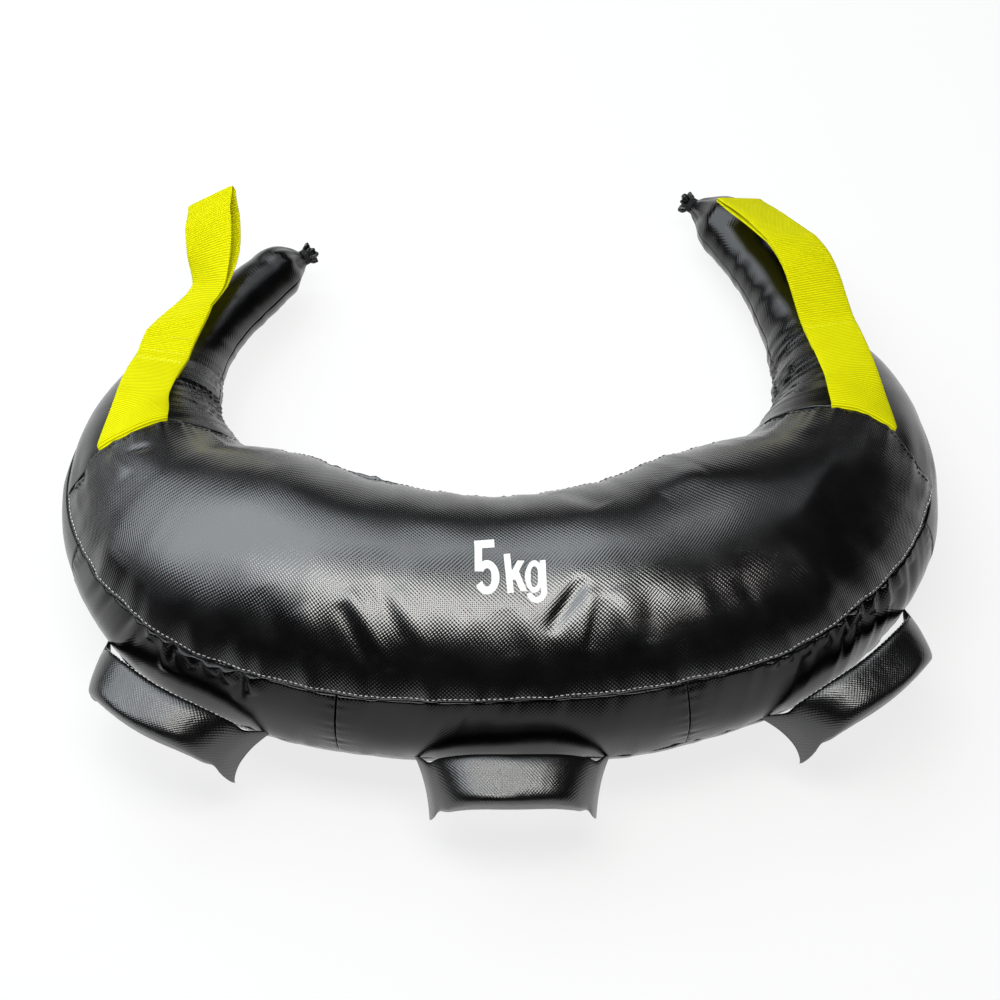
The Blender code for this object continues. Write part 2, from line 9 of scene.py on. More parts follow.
import bmesh
import bpy
import numpy as np
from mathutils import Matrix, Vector


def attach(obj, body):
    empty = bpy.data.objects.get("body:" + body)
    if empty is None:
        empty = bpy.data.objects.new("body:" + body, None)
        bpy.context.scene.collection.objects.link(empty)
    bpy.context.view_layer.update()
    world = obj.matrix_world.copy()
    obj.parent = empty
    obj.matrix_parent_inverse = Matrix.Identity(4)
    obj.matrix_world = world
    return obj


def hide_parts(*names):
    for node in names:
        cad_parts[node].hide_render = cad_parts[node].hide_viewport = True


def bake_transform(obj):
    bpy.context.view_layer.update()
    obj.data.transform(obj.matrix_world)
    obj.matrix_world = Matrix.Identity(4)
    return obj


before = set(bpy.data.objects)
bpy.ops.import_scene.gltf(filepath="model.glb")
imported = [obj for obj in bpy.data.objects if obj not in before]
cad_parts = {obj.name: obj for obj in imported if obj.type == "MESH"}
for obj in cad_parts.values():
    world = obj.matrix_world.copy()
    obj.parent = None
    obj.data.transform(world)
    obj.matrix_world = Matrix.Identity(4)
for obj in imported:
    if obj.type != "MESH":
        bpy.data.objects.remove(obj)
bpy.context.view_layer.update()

MM = 0.001
SHIFT = np.array([-0.00108, -0.14683, 0.0])

# The stuffed tube, as in the CAD source
HALF_SPAN = 242 * MM
REACH = 409 * MM
BELLY = (95 * MM, 84 * MM)
HORN = (20 * MM, 20 * MM)
NECK = (5.5 * MM, 5.5 * MM)
STATION_SHARES = (
    (-0.618, 0.868, 0.408, 1.00, 1.00, NECK),
    (-0.661, 0.848, 0.440, 0.88, 0.85, HORN),
    (-0.722, 0.806, 0.460, 1.04, 1.00, HORN),
    (-0.888, 0.650, 0.548, 1.15, 1.10, HORN),
    (-1.000, 0.408, 0.786, 0.54, 0.54, BELLY),
    (-0.934, 0.236, 0.857, 0.82, 0.77, BELLY),
    (-0.756, 0.122, 0.917, 1.01, 0.94, BELLY),
    (-0.483, 0.042, 0.952, 1.00, 1.00, BELLY),
    (-0.054, 0.000, 0.952, 0.95, 0.99, BELLY),
    (0.388, 0.032, 0.952, 1.00, 1.00, BELLY),
    (0.702, 0.120, 0.917, 1.01, 0.95, BELLY),
    (0.921, 0.247, 0.857, 0.86, 0.80, BELLY),
    (1.000, 0.423, 0.786, 0.59, 0.61, BELLY),
    (0.913, 0.667, 0.548, 1.40, 1.35, HORN),
    (0.788, 0.850, 0.476, 1.06, 1.02, HORN),
    (0.667, 0.966, 0.452, 0.90, 0.88, HORN),
    (0.616, 0.990, 0.429, 1.00, 1.00, NECK),
)
OUTER_SEAM_SHARES = (
    (0.0, 8), (0.15, 8), (0.228, 22), (0.262, 27), (0.30, 30), (0.345, 27), (0.42, 27), (0.50, 30),
    (0.57, 30), (0.61, 28), (0.66, 30), (0.709, 29), (0.74, 27), (0.85, 8), (1.0, 8),
)
NECK_SEAM_SHARES = (
    (0.0, 172), (0.17, 170), (0.262, 158), (0.33, 153), (0.63, 153), (0.709, 158), (0.83, 170),
    (1.0, 172),
)
LOWER_SEAM_DEG = -15
GUSSET_END_SHARES = (0.262, 0.709)
GUSSET_JOIN_SHARES = (0.406, 0.567)

# The shoulder seams slant: section angle, then length share
LEFT_SHOULDER_SHARES = (
    (15, 0.238), (43, 0.2349), (48, 0.2302), (56, 0.2262), (74, 0.2230), (90, 0.2177), (104, 0.2137),
    (115, 0.2155), (126, 0.2205), (158, 0.226),
)
RIGHT_SHOULDER_SHARES = (
    (20, 0.728), (42, 0.7301), (46, 0.7336), (54, 0.7375), (60, 0.7430), (74, 0.7475), (85, 0.7505),
    (111, 0.7515), (128, 0.7500), (158, 0.742),
)

WEBBING_WIDTH = 38 * MM
WEBBING_PLY = 2 * MM
LOOP_LENGTH = 155 * MM
FIT_GAP = 0.3 * MM
STRAP_PLY = 1.8 * MM
PLY_GAP = 0.15 * MM
STRAPS = {
    "left": {
        "root_shares": (0.2225, 79), "tail_shares": (0.152, 84), "bow": 3, "lift": 2 * MM,
        "bend_shares": (0.18, 0.48, -0.07), "top_shares": (0.165, 0.94, -0.01),
        "width_shares": (0.88, 0.18, 0.42), "twist_shares": (-0.26, -0.42, 0.30), "opening": 7.0 * MM,
        "side": 1, "root_arc": 0.82 * MM, "sway": -5.5 * MM, "seam": LEFT_SHOULDER_SHARES, "seed": 81,
        "crease": (0.14, 0.12, 2.4), "tacks": (("loop", 1), ("loop", 6), ("tail", -2), ("tail", -3)),
    },
    "right": {
        "root_shares": (0.7455, 81), "tail_shares": (0.828, 87), "bow": 6, "lift": 11 * MM,
        "bend_shares": (-0.10, 0.37, 0.05), "top_shares": (-0.35, 0.85, -0.145),
        "width_shares": (0.90, 0.26, -0.34), "twist_shares": (0.0, 0.05, 0.03), "opening": 1.2 * MM,
        "side": -1, "root_arc": 0.93 * MM, "sway": 0.0, "seam": RIGHT_SHOULDER_SHARES, "seed": 82,
        "crease": (0.55, 0.0, 1.2), "tacks": (("loop", 0), ("tail", -2), ("loop", 26)),
    },
}

GRIP_SHARES = {"left": (0.289, 0.374), "center": (0.441, 0.533), "right": (0.604, 0.689)}
GRIP_HEIGHT = 40 * MM
GRIP_END_THICKNESS = 6 * MM
COVER_END_DROP_DEG = 48
COVER_MIDDLE_DROP_DEG = 10
COVER_GAP = 6.8 * MM
COVER_RISE = 24 * MM
GRIP_TAPER_SHARE = 0.14
POUCH_LENGTH = 134 * MM
POUCH_HALF_HEIGHT = 22.5 * MM
POUCH_NARROWING = 5 * MM
POUCH_HALF_THICKNESS = 10.8 * MM
POUCH_HALF_EDGE = 0.4 * MM
POUCH_MOVEMENT = 2.4 * MM
POUCH_FRAMES = 18
POUCH_CLOTH = {
    "quality": 6, "mass": 0.15, "tension_stiffness": 40, "compression_stiffness": 40, "shear_stiffness": 12,
    "bending_stiffness": 7.0, "tension_damping": 8, "compression_damping": 8, "shear_damping": 8,
    "air_damping": 2, "use_pressure": True, "uniform_pressure_force": 2.5, "vertex_group_mass": "sewn_ends",
    "shrink_min": -0.004,
}
FOAM_RADIUS = 7.6 * MM
FLAP_ROW_ENDS = 5

# Stitches: length, gap and radius
TOP_STITCH = (2.0 * MM, 1.6 * MM, 0.29 * MM)
SEAM_STITCH = (2.6 * MM, 1.2 * MM, 0.38 * MM)
END_STITCH = (2.2 * MM, 1.0 * MM, 0.22 * MM)
FLAP_STITCH = (2.0 * MM, 1.7 * MM, 0.24 * MM)
TACK_STITCH = (2.1 * MM, 0.3 * MM)
TACK_PLACES = np.arange(-17.4, 17.5, 2.7) * MM
INK_LIFT = 0.16 * MM

# The camera of the photograph: its place, what it looks at, and its focal length in pixels
CAMERA_PLACE = np.array([-0.00108, -1.03633, 1.5523])
CAMERA_TARGET = np.array([-0.00108, -0.02983, 0.060])
FOCAL_PIXELS = 2579.4
SENSOR = 36.0
IMAGE_PIXELS = 1000

# The studio: name, place, aim, size, power in watts and colour of each lamp
LAMPS = (
    ("top_softbox", (-0.05, -0.26, 1.5), (-0.03, -0.12, 0.1), (1.10, 0.46), 13.5, (1.0, 0.99, 0.96)),
    ("left_softbox", (-0.82, 0.57, 1.38), (-0.08, -0.05, 0.1), (2.0, 1.6), 30.0, (0.90, 0.96, 1.0)),
    ("back_softbox", (0.24, 1.06, 1.30), (0.02, -0.02, 0.1), (0.70, 0.40), 1.9, (0.94, 0.98, 1.0)),
)
FLOOR_HALF_SIZE = 12.0
FLOOR_DROP = 0.0006
FLOOR_GLOW = 0.80
WORLD_LEVEL = 0.02


def smooth_curve(at, knots, values):
    """Cubic curve through the values, with slopes taken from their neighbours."""
    at = np.asarray(at, float)
    values = np.asarray(values, float)
    slopes = np.gradient(values, knots, axis=0)
    i = np.clip(np.searchsorted(knots, at, side="right") - 1, 0, len(knots) - 2)
    step = knots[i + 1] - knots[i]
    t = (at - knots[i]) / step
    if values.ndim > 1:
        t = t[..., None]
        step = step[..., None]
    start = (1 + 2 * t) * (1 - t) ** 2 * values[i] + t * (1 - t) ** 2 * step * slopes[i]
    return start + t * t * (3 - 2 * t) * values[i + 1] + t * t * (t - 1) * step * slopes[i + 1]


def unit(vectors):
    """The vectors at length one."""
    vectors = np.asarray(vectors, float)
    return vectors / np.maximum(np.linalg.norm(vectors, axis=-1, keepdims=True), 1e-12)


def soft_step(x):
    """0 below 0, 1 above 1 and smooth between."""
    x = np.clip(x, 0.0, 1.0)
    return x * x * (3 - 2 * x)


class Tube:
    """The stuffed tube's outer surface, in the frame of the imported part."""

    def __init__(self):
        scale = np.array([HALF_SPAN, REACH, BELLY[1]])
        self.centres = np.array([row[:3] for row in STATION_SHARES]) * scale
        self.widths = np.array([row[3] * row[5][0] for row in STATION_SHARES])
        self.heights = np.array([row[4] * row[5][1] for row in STATION_SHARES])
        chords = np.linalg.norm(np.diff(self.centres, axis=0), axis=1)
        self.length = float(chords.sum())
        self.knots = np.concatenate([[0.0], np.cumsum(chords)]) / self.length

    def centre(self, share):
        """Points of the centreline."""
        return smooth_curve(share, self.knots, self.centres) + SHIFT

    def along(self, share):
        """Level unit vectors along the tube."""
        ahead = self.centre(np.minimum(share + 0.001, 1.0)) - self.centre(np.maximum(share - 0.001, 0.0))
        return unit(ahead * np.array([1.0, 1.0, 0.0]))

    def surface(self, share, degrees, offset=0.0):
        """Points of the surface, moved out by the offset and kept on the floor."""
        share, degrees, offset = np.broadcast_arrays(np.asarray(share, float), degrees, offset)
        along = self.along(share)
        outward = np.stack([along[..., 1], -along[..., 0], np.zeros(share.shape)], -1)
        angle = np.radians(degrees)
        width = smooth_curve(share, self.knots, self.widths) + offset
        height = smooth_curve(share, self.knots, self.heights) + offset
        places = self.centre(share) + outward * (width * np.cos(angle))[..., None]
        places[..., 2] = np.maximum(places[..., 2] + height * np.sin(angle), 0.0)
        return places

    def normal(self, share, degrees):
        """Unit vectors out of the surface."""
        share, degrees = np.asarray(share), np.asarray(degrees)
        round_it = self.surface(share, degrees + 0.5) - self.surface(share, degrees - 0.5)
        along_it = self.surface(share + 0.001, degrees) - self.surface(share - 0.001, degrees)
        return unit(np.cross(along_it, round_it))


TUBE = Tube()


def table_at(table, at):
    """Value of a two-column table at a place."""
    rows = np.array(table)
    return np.interp(at, rows[:, 0], rows[:, 1])


class Camera:
    """The photograph's view, for placing details by its pixels."""

    def __init__(self):
        self.ahead = unit(CAMERA_TARGET - CAMERA_PLACE)
        self.right = unit(np.cross(self.ahead, (0.0, 0.0, 1.0)))
        self.up = np.cross(self.right, self.ahead)

    def pixels(self, places):
        """Pixels of the photograph at which places show."""
        seen = np.asarray(places) - CAMERA_PLACE
        depth = seen @ self.ahead
        return np.stack([IMAGE_PIXELS / 2 + FOCAL_PIXELS * (seen @ self.right) / depth,
                         IMAGE_PIXELS / 2 - FOCAL_PIXELS * (seen @ self.up) / depth], -1)


PHOTO = Camera()
SEARCH_SHARES, SEARCH_ANGLES = np.meshgrid(np.linspace(0.02, 0.98, 481), np.linspace(-15, 130, 146),
                                           indexing="ij")
SEARCH_PIXELS = PHOTO.pixels(TUBE.surface(SEARCH_SHARES, SEARCH_ANGLES))
SEARCH_FACING = (TUBE.normal(SEARCH_SHARES, SEARCH_ANGLES) @ -PHOTO.ahead) > 0.15


def under_pixel(x, y):
    """Length share and section angle of the skin under a pixel of the photograph."""
    miss = np.hypot(SEARCH_PIXELS[..., 0] - x, SEARCH_PIXELS[..., 1] - y) + np.where(SEARCH_FACING, 0.0, 1e6)
    i, j = np.unravel_index(np.argmin(miss), miss.shape)
    share, angle = SEARCH_SHARES[i, j], SEARCH_ANGLES[i, j]
    for _ in range(4):
        here = PHOTO.pixels(TUBE.surface(share, angle))
        by_share = (PHOTO.pixels(TUBE.surface(share + 1e-4, angle)) - here) / 1e-4
        by_angle = (PHOTO.pixels(TUBE.surface(share, angle + 0.05)) - here) / 0.05
        step = np.linalg.solve(np.stack([by_share, by_angle], -1), np.array([x, y]) - here)
        share, angle = share + step[0], angle + step[1]
    return float(share), float(angle)


def ripple(x, wavelength, seed):
    """An uneven wave from about -1 to 1, as of cloth that is drawn up by a seam."""
    chance = np.random.default_rng(seed)
    total = np.zeros(np.shape(x))
    for stretch, height in ((1.0, 0.5), (1.61, 0.3), (0.67, 0.32), (0.41, 0.16)):
        phase = chance.uniform(0, 2 * math.pi)
        total += height * np.sin(2 * math.pi * x / (wavelength * stretch) + phase)
    return total


def billow(x, y, wavelength, seed):
    """Soft dents and swells over a surface, from about -1 to 1."""
    chance = np.random.default_rng(seed)
    total = np.zeros(np.shape(x))
    for _ in range(7):
        turn = chance.uniform(0, 2 * math.pi)
        stretch = chance.uniform(0.7, 1.6)
        phase = chance.uniform(0, 2 * math.pi)
        reach = x * math.cos(turn) + y * math.sin(turn)
        total += np.sin(2 * math.pi * reach / (wavelength * stretch) + phase)
    return total / 3.2


# Folds of the top panel: the photograph's pixels at both ends, half width and height in mm
TOP_FOLDS = (
    ((349, 592), (391, 668), 4.2, 1.7),
    ((340, 606), (371, 668), 4.0, -1.7),
    ((372, 580), (402, 640), 5.0, -1.0),
    ((395, 590), (425, 652), 6.5, 0.9),
    ((583, 580), (550, 630), 5.0, -2.8),
    ((594, 590), (577, 655), 4.5, 1.3),
    ((600, 600), (590, 648), 6.0, -1.0),
    ((618, 590), (632, 650), 8.0, 1.3),
    ((650, 590), (655, 640), 8.0, -1.0),
    ((470, 612), (455, 660), 8.0, 1.0),
    ((505, 610), (515, 655), 8.0, -0.9),
    ((300, 610), (330, 665), 8.0, 0.9),
    ((262, 590), (283, 650), 8.0, -0.8),
    ((697, 585), (715, 640), 7.0, 0.9),
    ((738, 575), (764, 620), 6.0, -0.9),
    ((790, 540), (835, 600), 7.0, 0.9),
    ((110, 455), (125, 475), 5.0, 1.5),
    ((128, 452), (150, 445), 4.0, -1.2),
    ((838, 440), (800, 520), 9.0, 1.2),
    ((600, 505), (560, 492), 9.0, -1.4),
    ((700, 470), (660, 490), 12.0, 1.3),
)
# Folds of the gusset below the top seam
GUSSET_FOLDS = (
    ((152, 620), (150, 640), 3.0, 1.5),
    ((166, 634), (163, 668), 3.0, 1.7),
    ((186, 648), (192, 668), 3.2, 1.6),
    ((206, 655), (214, 676), 3.0, 1.6),
    ((222, 664), (232, 684), 3.0, 1.5),
    ((249, 672), (254, 694), 3.2, 1.5),
    ((172, 640), (176, 672), 3.0, -1.6),
    ((240, 672), (240, 700), 4.0, -1.3),
    ((905, 545), (912, 562), 3.2, 1.4),
    ((893, 563), (900, 586), 3.2, 1.6),
    ((881, 578), (890, 604), 3.2, 1.6),
    ((867, 592), (872, 612), 3.0, 1.5),
    ((855, 602), (858, 620), 3.0, 1.5),
    ((840, 614), (846, 634), 3.0, 1.5),
    ((822, 626), (828, 645), 3.0, 1.4),
    ((806, 636), (808, 655), 3.0, 1.4),
    ((790, 645), (788, 662), 3.2, 1.3),
    ((776, 652), (774, 668), 3.2, 1.2),
)


def folds_at(places, folds):
    """Height in mm of a list of folds at places on the skin."""
    total = np.zeros(places.shape[:-1])
    for start, end, width, height in folds:
        a = TUBE.surface(*under_pixel(*start))
        b = TUBE.surface(*under_pixel(*end))
        ray = b - a
        t = ((places - a) @ ray) / (ray @ ray)
        miss = np.linalg.norm(places - a - np.clip(t, 0, 1)[..., None] * ray, axis=-1) / MM
        taper = np.sin(np.clip(t * 0.92 + 0.04, 0.0, 1.0) * math.pi) ** 0.6
        total += height * np.exp(-(miss / width) ** 2) * taper
    return total


class Place:
    """Where the points of a panel lie: angles, lengths and distances in mm from its four seams."""

    def __init__(self, share, angle, places, low, high, start, end):
        self.share, self.angle, self.places = share, angle, places
        self.x, self.y = share * TUBE.length / MM, angle
        self.low, self.high, self.start, self.end = low, high, start, end


def roll(distance, radius):
    """How far a sewn edge turns in, at a distance from its seam, in mm."""
    x = 1 - np.clip(distance / radius, 0, 1)
    return radius * (1 - np.sqrt(np.maximum(1 - x * x, 0.0)))


def top_relief(at):
    """Folds and puckers of the top panel, in mm."""
    deep = 0.9 * billow(at.x, at.y * 1.5, 120, 11)
    deep += 0.16 * billow(at.x, at.y * 1.5, 45, 12)
    deep += 1.25 * np.exp(-at.low / 30) * ripple(at.x + 0.2 * at.low, 31, 13)
    deep += 0.5 * np.exp(-at.low / 6) * ripple(at.x, 9, 14)
    deep += 0.75 * np.exp(-at.high / 20) * ripple(at.x - 0.3 * at.high, 30, 15)
    deep += 0.28 * np.exp(-at.high / 6) * ripple(at.x, 10, 16)
    ends = np.exp(-np.minimum(at.start, at.end) / 14)
    deep += 1.0 * ends * ripple(at.y * 1.6, 24, 17)
    return deep + folds_at(at.places, TOP_FOLDS)


def bottom_relief(at):
    """Puckers of the under panel, in mm."""
    free = soft_step(at.places[..., 2] / (12 * MM))
    deep = 0.8 * billow(at.x, at.y * 1.6, 90, 21)
    deep += 0.8 * np.exp(-at.low / 16) * ripple(at.x + 0.3 * at.low, 19, 22)
    deep += 0.35 * np.exp(-at.low / 5) * ripple(at.x, 8, 23)
    deep += 0.9 * np.exp(-at.high / 14) * ripple(at.x, 18, 24)
    return deep * free


def gusset_relief(at):
    """Gathers of the gusset, strong where the bag's outline turns, in mm."""
    turn = np.exp(-((at.share - 0.315) / 0.035) ** 2) + np.exp(-((at.share - 0.662) / 0.035) ** 2)
    deep = 0.6 * billow(at.x, at.y * 1.6, 50, 31)
    deep += (0.4 + 2.0 * turn) * np.exp(-at.high / 19) * ripple(at.x + 0.25 * at.high, 12.5, 32)
    deep += 0.5 * np.exp(-at.low / 8) * ripple(at.x, 14, 33)
    deep += 0.5 * np.exp(-np.minimum(at.start, at.end) / 5) * ripple(at.y * 1.5, 9, 34)
    return deep + 1.6 * folds_at(at.places, GUSSET_FOLDS)


def horn_relief(seed, bend_share, tip_share):
    """Folds of a horn: across its inner bend, and gathered lengthwise towards its tied tip."""
    def relief(at):
        inner = 0.5 - 0.5 * np.cos(np.radians(at.angle))
        near_bend = np.exp(-((at.share - bend_share) / 0.035) ** 2)
        deep = 0.55 * billow(at.x, at.y * 0.4, 45, seed)
        slant = at.x + 0.12 * (at.angle - 150)
        creases = 1 - 2 * np.abs(ripple(slant, 15, seed + 1)) ** 0.7
        deep += 2.3 * near_bend * inner ** 3 * creases
        deep += 0.35 * inner * ripple(slant, 21, seed + 2)
        to_tip = np.abs(at.share - tip_share) * TUBE.length / MM
        gather = np.exp(-to_tip / 15)
        lobes = np.sin(np.radians(at.angle) * 9 + 1.3 * np.sin(np.radians(at.angle) * 2 + seed))
        deep += 1.15 * gather * lobes * (1 - np.exp(-to_tip / 3))
        shoulder = np.abs(at.share - (0.226 if tip_share < 0.5 else 0.742)) * TUBE.length / MM
        deep += 0.8 * np.exp(-shoulder / 12) * ripple(at.y * 0.9, 21, seed + 3)
        taper = 1.6 * np.exp(-((to_tip - 12) / 9) ** 2)
        return deep * soft_step(to_tip / 6) - taper * soft_step(to_tip / 9)
    return relief


def spaced(length, step):
    """Fractions across a panel, with close rows along both edges."""
    rim = np.array([0.0, 0.3, 0.7, 1.2, 1.8, 2.5, 3.3]) * MM
    inner = np.linspace(4.4 * MM, length - 4.4 * MM, max(int(length / step), 3))
    return np.concatenate([rim, inner, length - rim[::-1]]) / length


def run_lengths(places, axis, at):
    """Distance along a grid's rows or columns, counted from one of them."""
    steps = np.linalg.norm(np.diff(places, axis=axis), axis=-1)
    total = np.concatenate([np.zeros_like(np.take(steps, [0], axis)), np.cumsum(steps, axis=axis)], axis)
    return total - np.take(total, [at], axis)


def grid_faces(rows, columns, closed=False):
    """Quads of a grid of points."""
    count = columns if closed else columns - 1
    i, j = np.meshgrid(np.arange(rows - 1), np.arange(count), indexing="ij")
    k = (j + 1) % columns
    quads = np.stack([i * columns + j, (i + 1) * columns + j, (i + 1) * columns + k, i * columns + k], -1)
    return quads.reshape(-1, 4)


def circle(count):
    """Angles evenly round a circle, in radians."""
    return np.linspace(0, 2 * math.pi, count + 1)[:-1]


def run_along(line):
    """Distance along a line of points, from its start."""
    return np.concatenate([[0.0], np.cumsum(np.linalg.norm(np.diff(line, axis=0), axis=1))])


def capped_faces(rows, columns):
    """Faces of a tube of rings of points, closed at both ends."""
    return (grid_faces(rows, columns, closed=True).tolist()
            + [list(range(columns)), list(range((rows - 1) * columns, rows * columns))])


def add_mesh(name, points, faces, finish, uv=None):
    """A new object from points and faces, with UVs in metres where they are given."""
    mesh = bpy.data.meshes.new(name)
    mesh.from_pydata(np.asarray(points).reshape(-1, 3).tolist(), [], np.asarray(faces).tolist()
                     if isinstance(faces, np.ndarray) else faces)
    if uv is not None:
        flat = np.asarray(uv, float).reshape(-1, 2)
        corners = np.zeros(len(mesh.loops), dtype=np.int32)
        mesh.loops.foreach_get("vertex_index", corners)
        mesh.uv_layers.new(name="UVMap").data.foreach_set("uv", flat[corners].ravel())
    work = bmesh.new()
    work.from_mesh(mesh)
    bmesh.ops.recalc_face_normals(work, faces=work.faces)
    work.to_mesh(mesh)
    work.free()
    mesh.shade_smooth()
    mesh.materials.append(finish)
    return in_scene(bpy.data.objects.new(name, mesh))


def in_scene(item):
    """Link a new object to the scene."""
    bpy.context.collection.objects.link(item)
    return item


def fit(piece, body=None, nodes=()):
    """Say what a piece rides on and which nodes it stands for."""
    if body:
        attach(piece, body)
    if nodes:
        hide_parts(*nodes)


RELIEFS = {}


def sewn_panel(name, node, ends, sides, step, relief, finish):
    """One panel of the skin, its edges turned in at the seams."""
    (start, end), (low, high) = ends, sides
    top = np.array([90.0])
    first, last = float(start(top)[0]), float(end(top)[0])
    mid_share = 0.5 * (first + last)
    length = abs(last - first) * TUBE.length
    mid_arc = TUBE.surface(mid_share, np.linspace(low(mid_share), high(mid_share), 60))
    girth = float(np.linalg.norm(np.diff(mid_arc, axis=0), axis=1).sum())
    u, v = np.meshgrid(spaced(length, step), spaced(girth, step), indexing="ij")
    share = first + (last - first) * u
    angle = low(share) + (high(share) - low(share)) * v
    share = start(angle) + (end(angle) - start(angle)) * u
    angle = low(share) + (high(share) - low(share)) * v
    base = TUBE.surface(share, angle)
    along = run_lengths(base, 0, 0)
    around = run_lengths(base, 1, 0)
    at = Place(share, angle, base, around / MM, (around[:, -1:] - around) / MM, along / MM,
               (along[-1:] - along) / MM)
    radius = np.minimum(1.5, around[:, -1:] / MM * 0.08)
    edge = roll(np.minimum(at.low, at.high), radius)
    edge = np.maximum(edge, roll(np.minimum(at.start, at.end), radius))
    keep = soft_step(np.minimum(np.minimum(at.low, at.high), np.minimum(at.start, at.end)) / 1.5 + 0.25)
    height = relief(at) * keep - edge
    places = TUBE.surface(share, angle, height * MM)
    middle = places.shape[0] // 2, places.shape[1] // 2
    uv = np.stack([run_lengths(base, 0, middle[0]), run_lengths(base, 1, middle[1])], -1)
    piece = add_mesh(name, places, grid_faces(*places.shape[:2]), finish, uv)
    fit(piece, "bag", [node])
    RELIEFS[name] = (share, angle, height)


def height_on(name, share, angle):
    """Relief in mm of a made panel at other places, read from its nearest points."""
    shares, angles, heights = RELIEFS[name]
    middle = angles[len(angles) // 2]
    found = []
    for s, a in zip(share, angle):
        column = shares[:, int(np.argmin(np.abs(middle - a)))]
        i = int(np.clip(np.searchsorted(column, s), 1, len(column) - 1))
        t = np.clip((s - column[i - 1]) / (column[i] - column[i - 1]), 0, 1)
        both = [np.interp(a, angles[k], heights[k]) for k in (i - 1, i)]
        found.append(both[0] * (1 - t) + both[1] * t)
    return np.array(found)


class Sum:
    """A shader value that can be used in sums."""

    def __init__(self, finish, socket):
        self.finish = finish
        self.socket = socket

    def __add__(self, other):
        return self.finish.math("ADD", self, other)

    def __radd__(self, other):
        return self.finish.math("ADD", other, self)

    def __sub__(self, other):
        return self.finish.math("SUBTRACT", self, other)

    def __rsub__(self, other):
        return self.finish.math("SUBTRACT", other, self)

    def __mul__(self, other):
        return self.finish.math("MULTIPLY", self, other)

    def __rmul__(self, other):
        return self.finish.math("MULTIPLY", other, self)

    def __truediv__(self, other):
        return self.finish.math("DIVIDE", self, other)


class Nodes:
    """A node tree of a material or of the world."""

    def __init__(self, owner):
        owner.use_nodes = True
        self.tree = owner.node_tree

    def node(self, kind, settings=None, out=0, **inputs):
        """A node of a type, with its settings, then the values or links of its sockets."""
        node = self.tree.nodes.new(kind)
        for key, value in (settings or {}).items():
            setattr(node, key, value)
        for key, value in inputs.items():
            index = int(key[1:]) if key[0] == "i" and key[1:].isdigit() else key.replace("_", " ")
            if isinstance(value, Sum):
                self.tree.links.new(value.socket, node.inputs[index])
            else:
                node.inputs[index].default_value = value
        return Sum(self, node.outputs[out])

    def math(self, operation, *values):
        """A Math node on values and numbers."""
        inputs = {f"i{i}": value for i, value in enumerate(values)}
        return self.node("ShaderNodeMath", {"operation": operation}, **inputs)


class Finish(Nodes):
    """A material and its nodes."""

    def __init__(self, name, **constants):
        self.material = bpy.data.materials.new(name)
        super().__init__(self.material)
        self.shader = self.tree.nodes["Principled BSDF"]
        for socket, value in constants.items():
            self.shader.inputs[socket.replace("_", " ")].default_value = value

    def feed(self, socket, value):
        """Link a value to the shader."""
        self.tree.links.new(value.socket, self.shader.inputs[socket])

    def weave_axes(self):
        """The cloth's two directions, in metres."""
        axes = self.node("ShaderNodeSeparateXYZ", Vector=self.node("ShaderNodeTexCoord", out="UV"))
        node = axes.socket.node
        return Sum(self, node.outputs[0]), Sum(self, node.outputs[1])

    def spots(self):
        """Places on the piece itself."""
        return self.node("ShaderNodeTexCoord", out="Object")

    def noise(self, scale):
        """Noise that follows the piece itself."""
        return self.node("ShaderNodeTexNoise", Vector=self.spots(), Scale=scale, Detail=4.0, Roughness=0.6)

    def coat(self, low, high, tone, rough, height, depth):
        """The material, with a colour between two colours, a roughness and a relief."""
        self.feed("Base Color", self.node("ShaderNodeMix", {"data_type": "RGBA"}, out=2, i0=tone,
                                          i6=(*low, 1), i7=(*high, 1)))
        self.feed("Roughness", rough)
        self.feed("Normal", self.node("ShaderNodeBump", Height=height, Distance=depth, Strength=1.0))
        return self.material


def embossed_vinyl(name, dots, gloss, low_rough, high_rough, pitch=2.7 * MM):
    """Black coated cloth with a fine slanting dimple weave."""
    finish = Finish(name, Metallic=0.0, IOR=1.7, Specular_IOR_Level=gloss)
    u, v = finish.weave_axes()
    turn = 2 * math.pi / pitch
    one = finish.math("SINE", u * turn)
    other = finish.math("SINE", v * turn)
    weave = one * other * 0.5 + 0.5
    grain = finish.noise(900.0)
    scuff = finish.noise(38.0)
    wear = finish.node("ShaderNodeValToRGB", Fac=scuff)
    low, high = wear.socket.node.color_ramp.elements
    low.position, high.position = 0.42, 0.72
    rough = low_rough + (high_rough - low_rough) * scuff + 0.06 * (1 - weave)
    return finish.coat((0.0010, 0.0010, 0.0013), (0.0028, 0.0029, 0.0035), wear, rough,
                       weave * dots + grain * 0.12, 0.00012)


def ribbed_webbing():
    """Bright woven webbing with ribs across it."""
    finish = Finish("webbing_weave", Metallic=0.0, Specular_IOR_Level=0.04)
    u, v = finish.weave_axes()
    turn = 2 * math.pi
    rib = finish.math("SINE", u * (turn / (1.85 * MM))) * 0.5 + 0.5
    yarn = finish.math("SINE", v * (turn / (1.1 * MM)) + finish.math("ROUND", u / (0.925 * MM)) * math.pi)
    yarn = yarn * 0.5 + 0.5
    fuzz = finish.noise(260.0)
    tone = finish.noise(30.0)
    height = rib * 0.65 + yarn * 0.3 + fuzz * 0.12
    # The colour follows the ribs and yarns as the relief does: darker in their grooves, which is painted
    # shade, with a random tone on top.
    shade = rib * 0.7 + yarn * 0.22 + tone * 0.22
    return finish.coat((0.52, 0.44, 0.0005), (0.90, 0.93, 0.003), shade, 0.62 + 0.25 * fuzz, height, 0.00055)


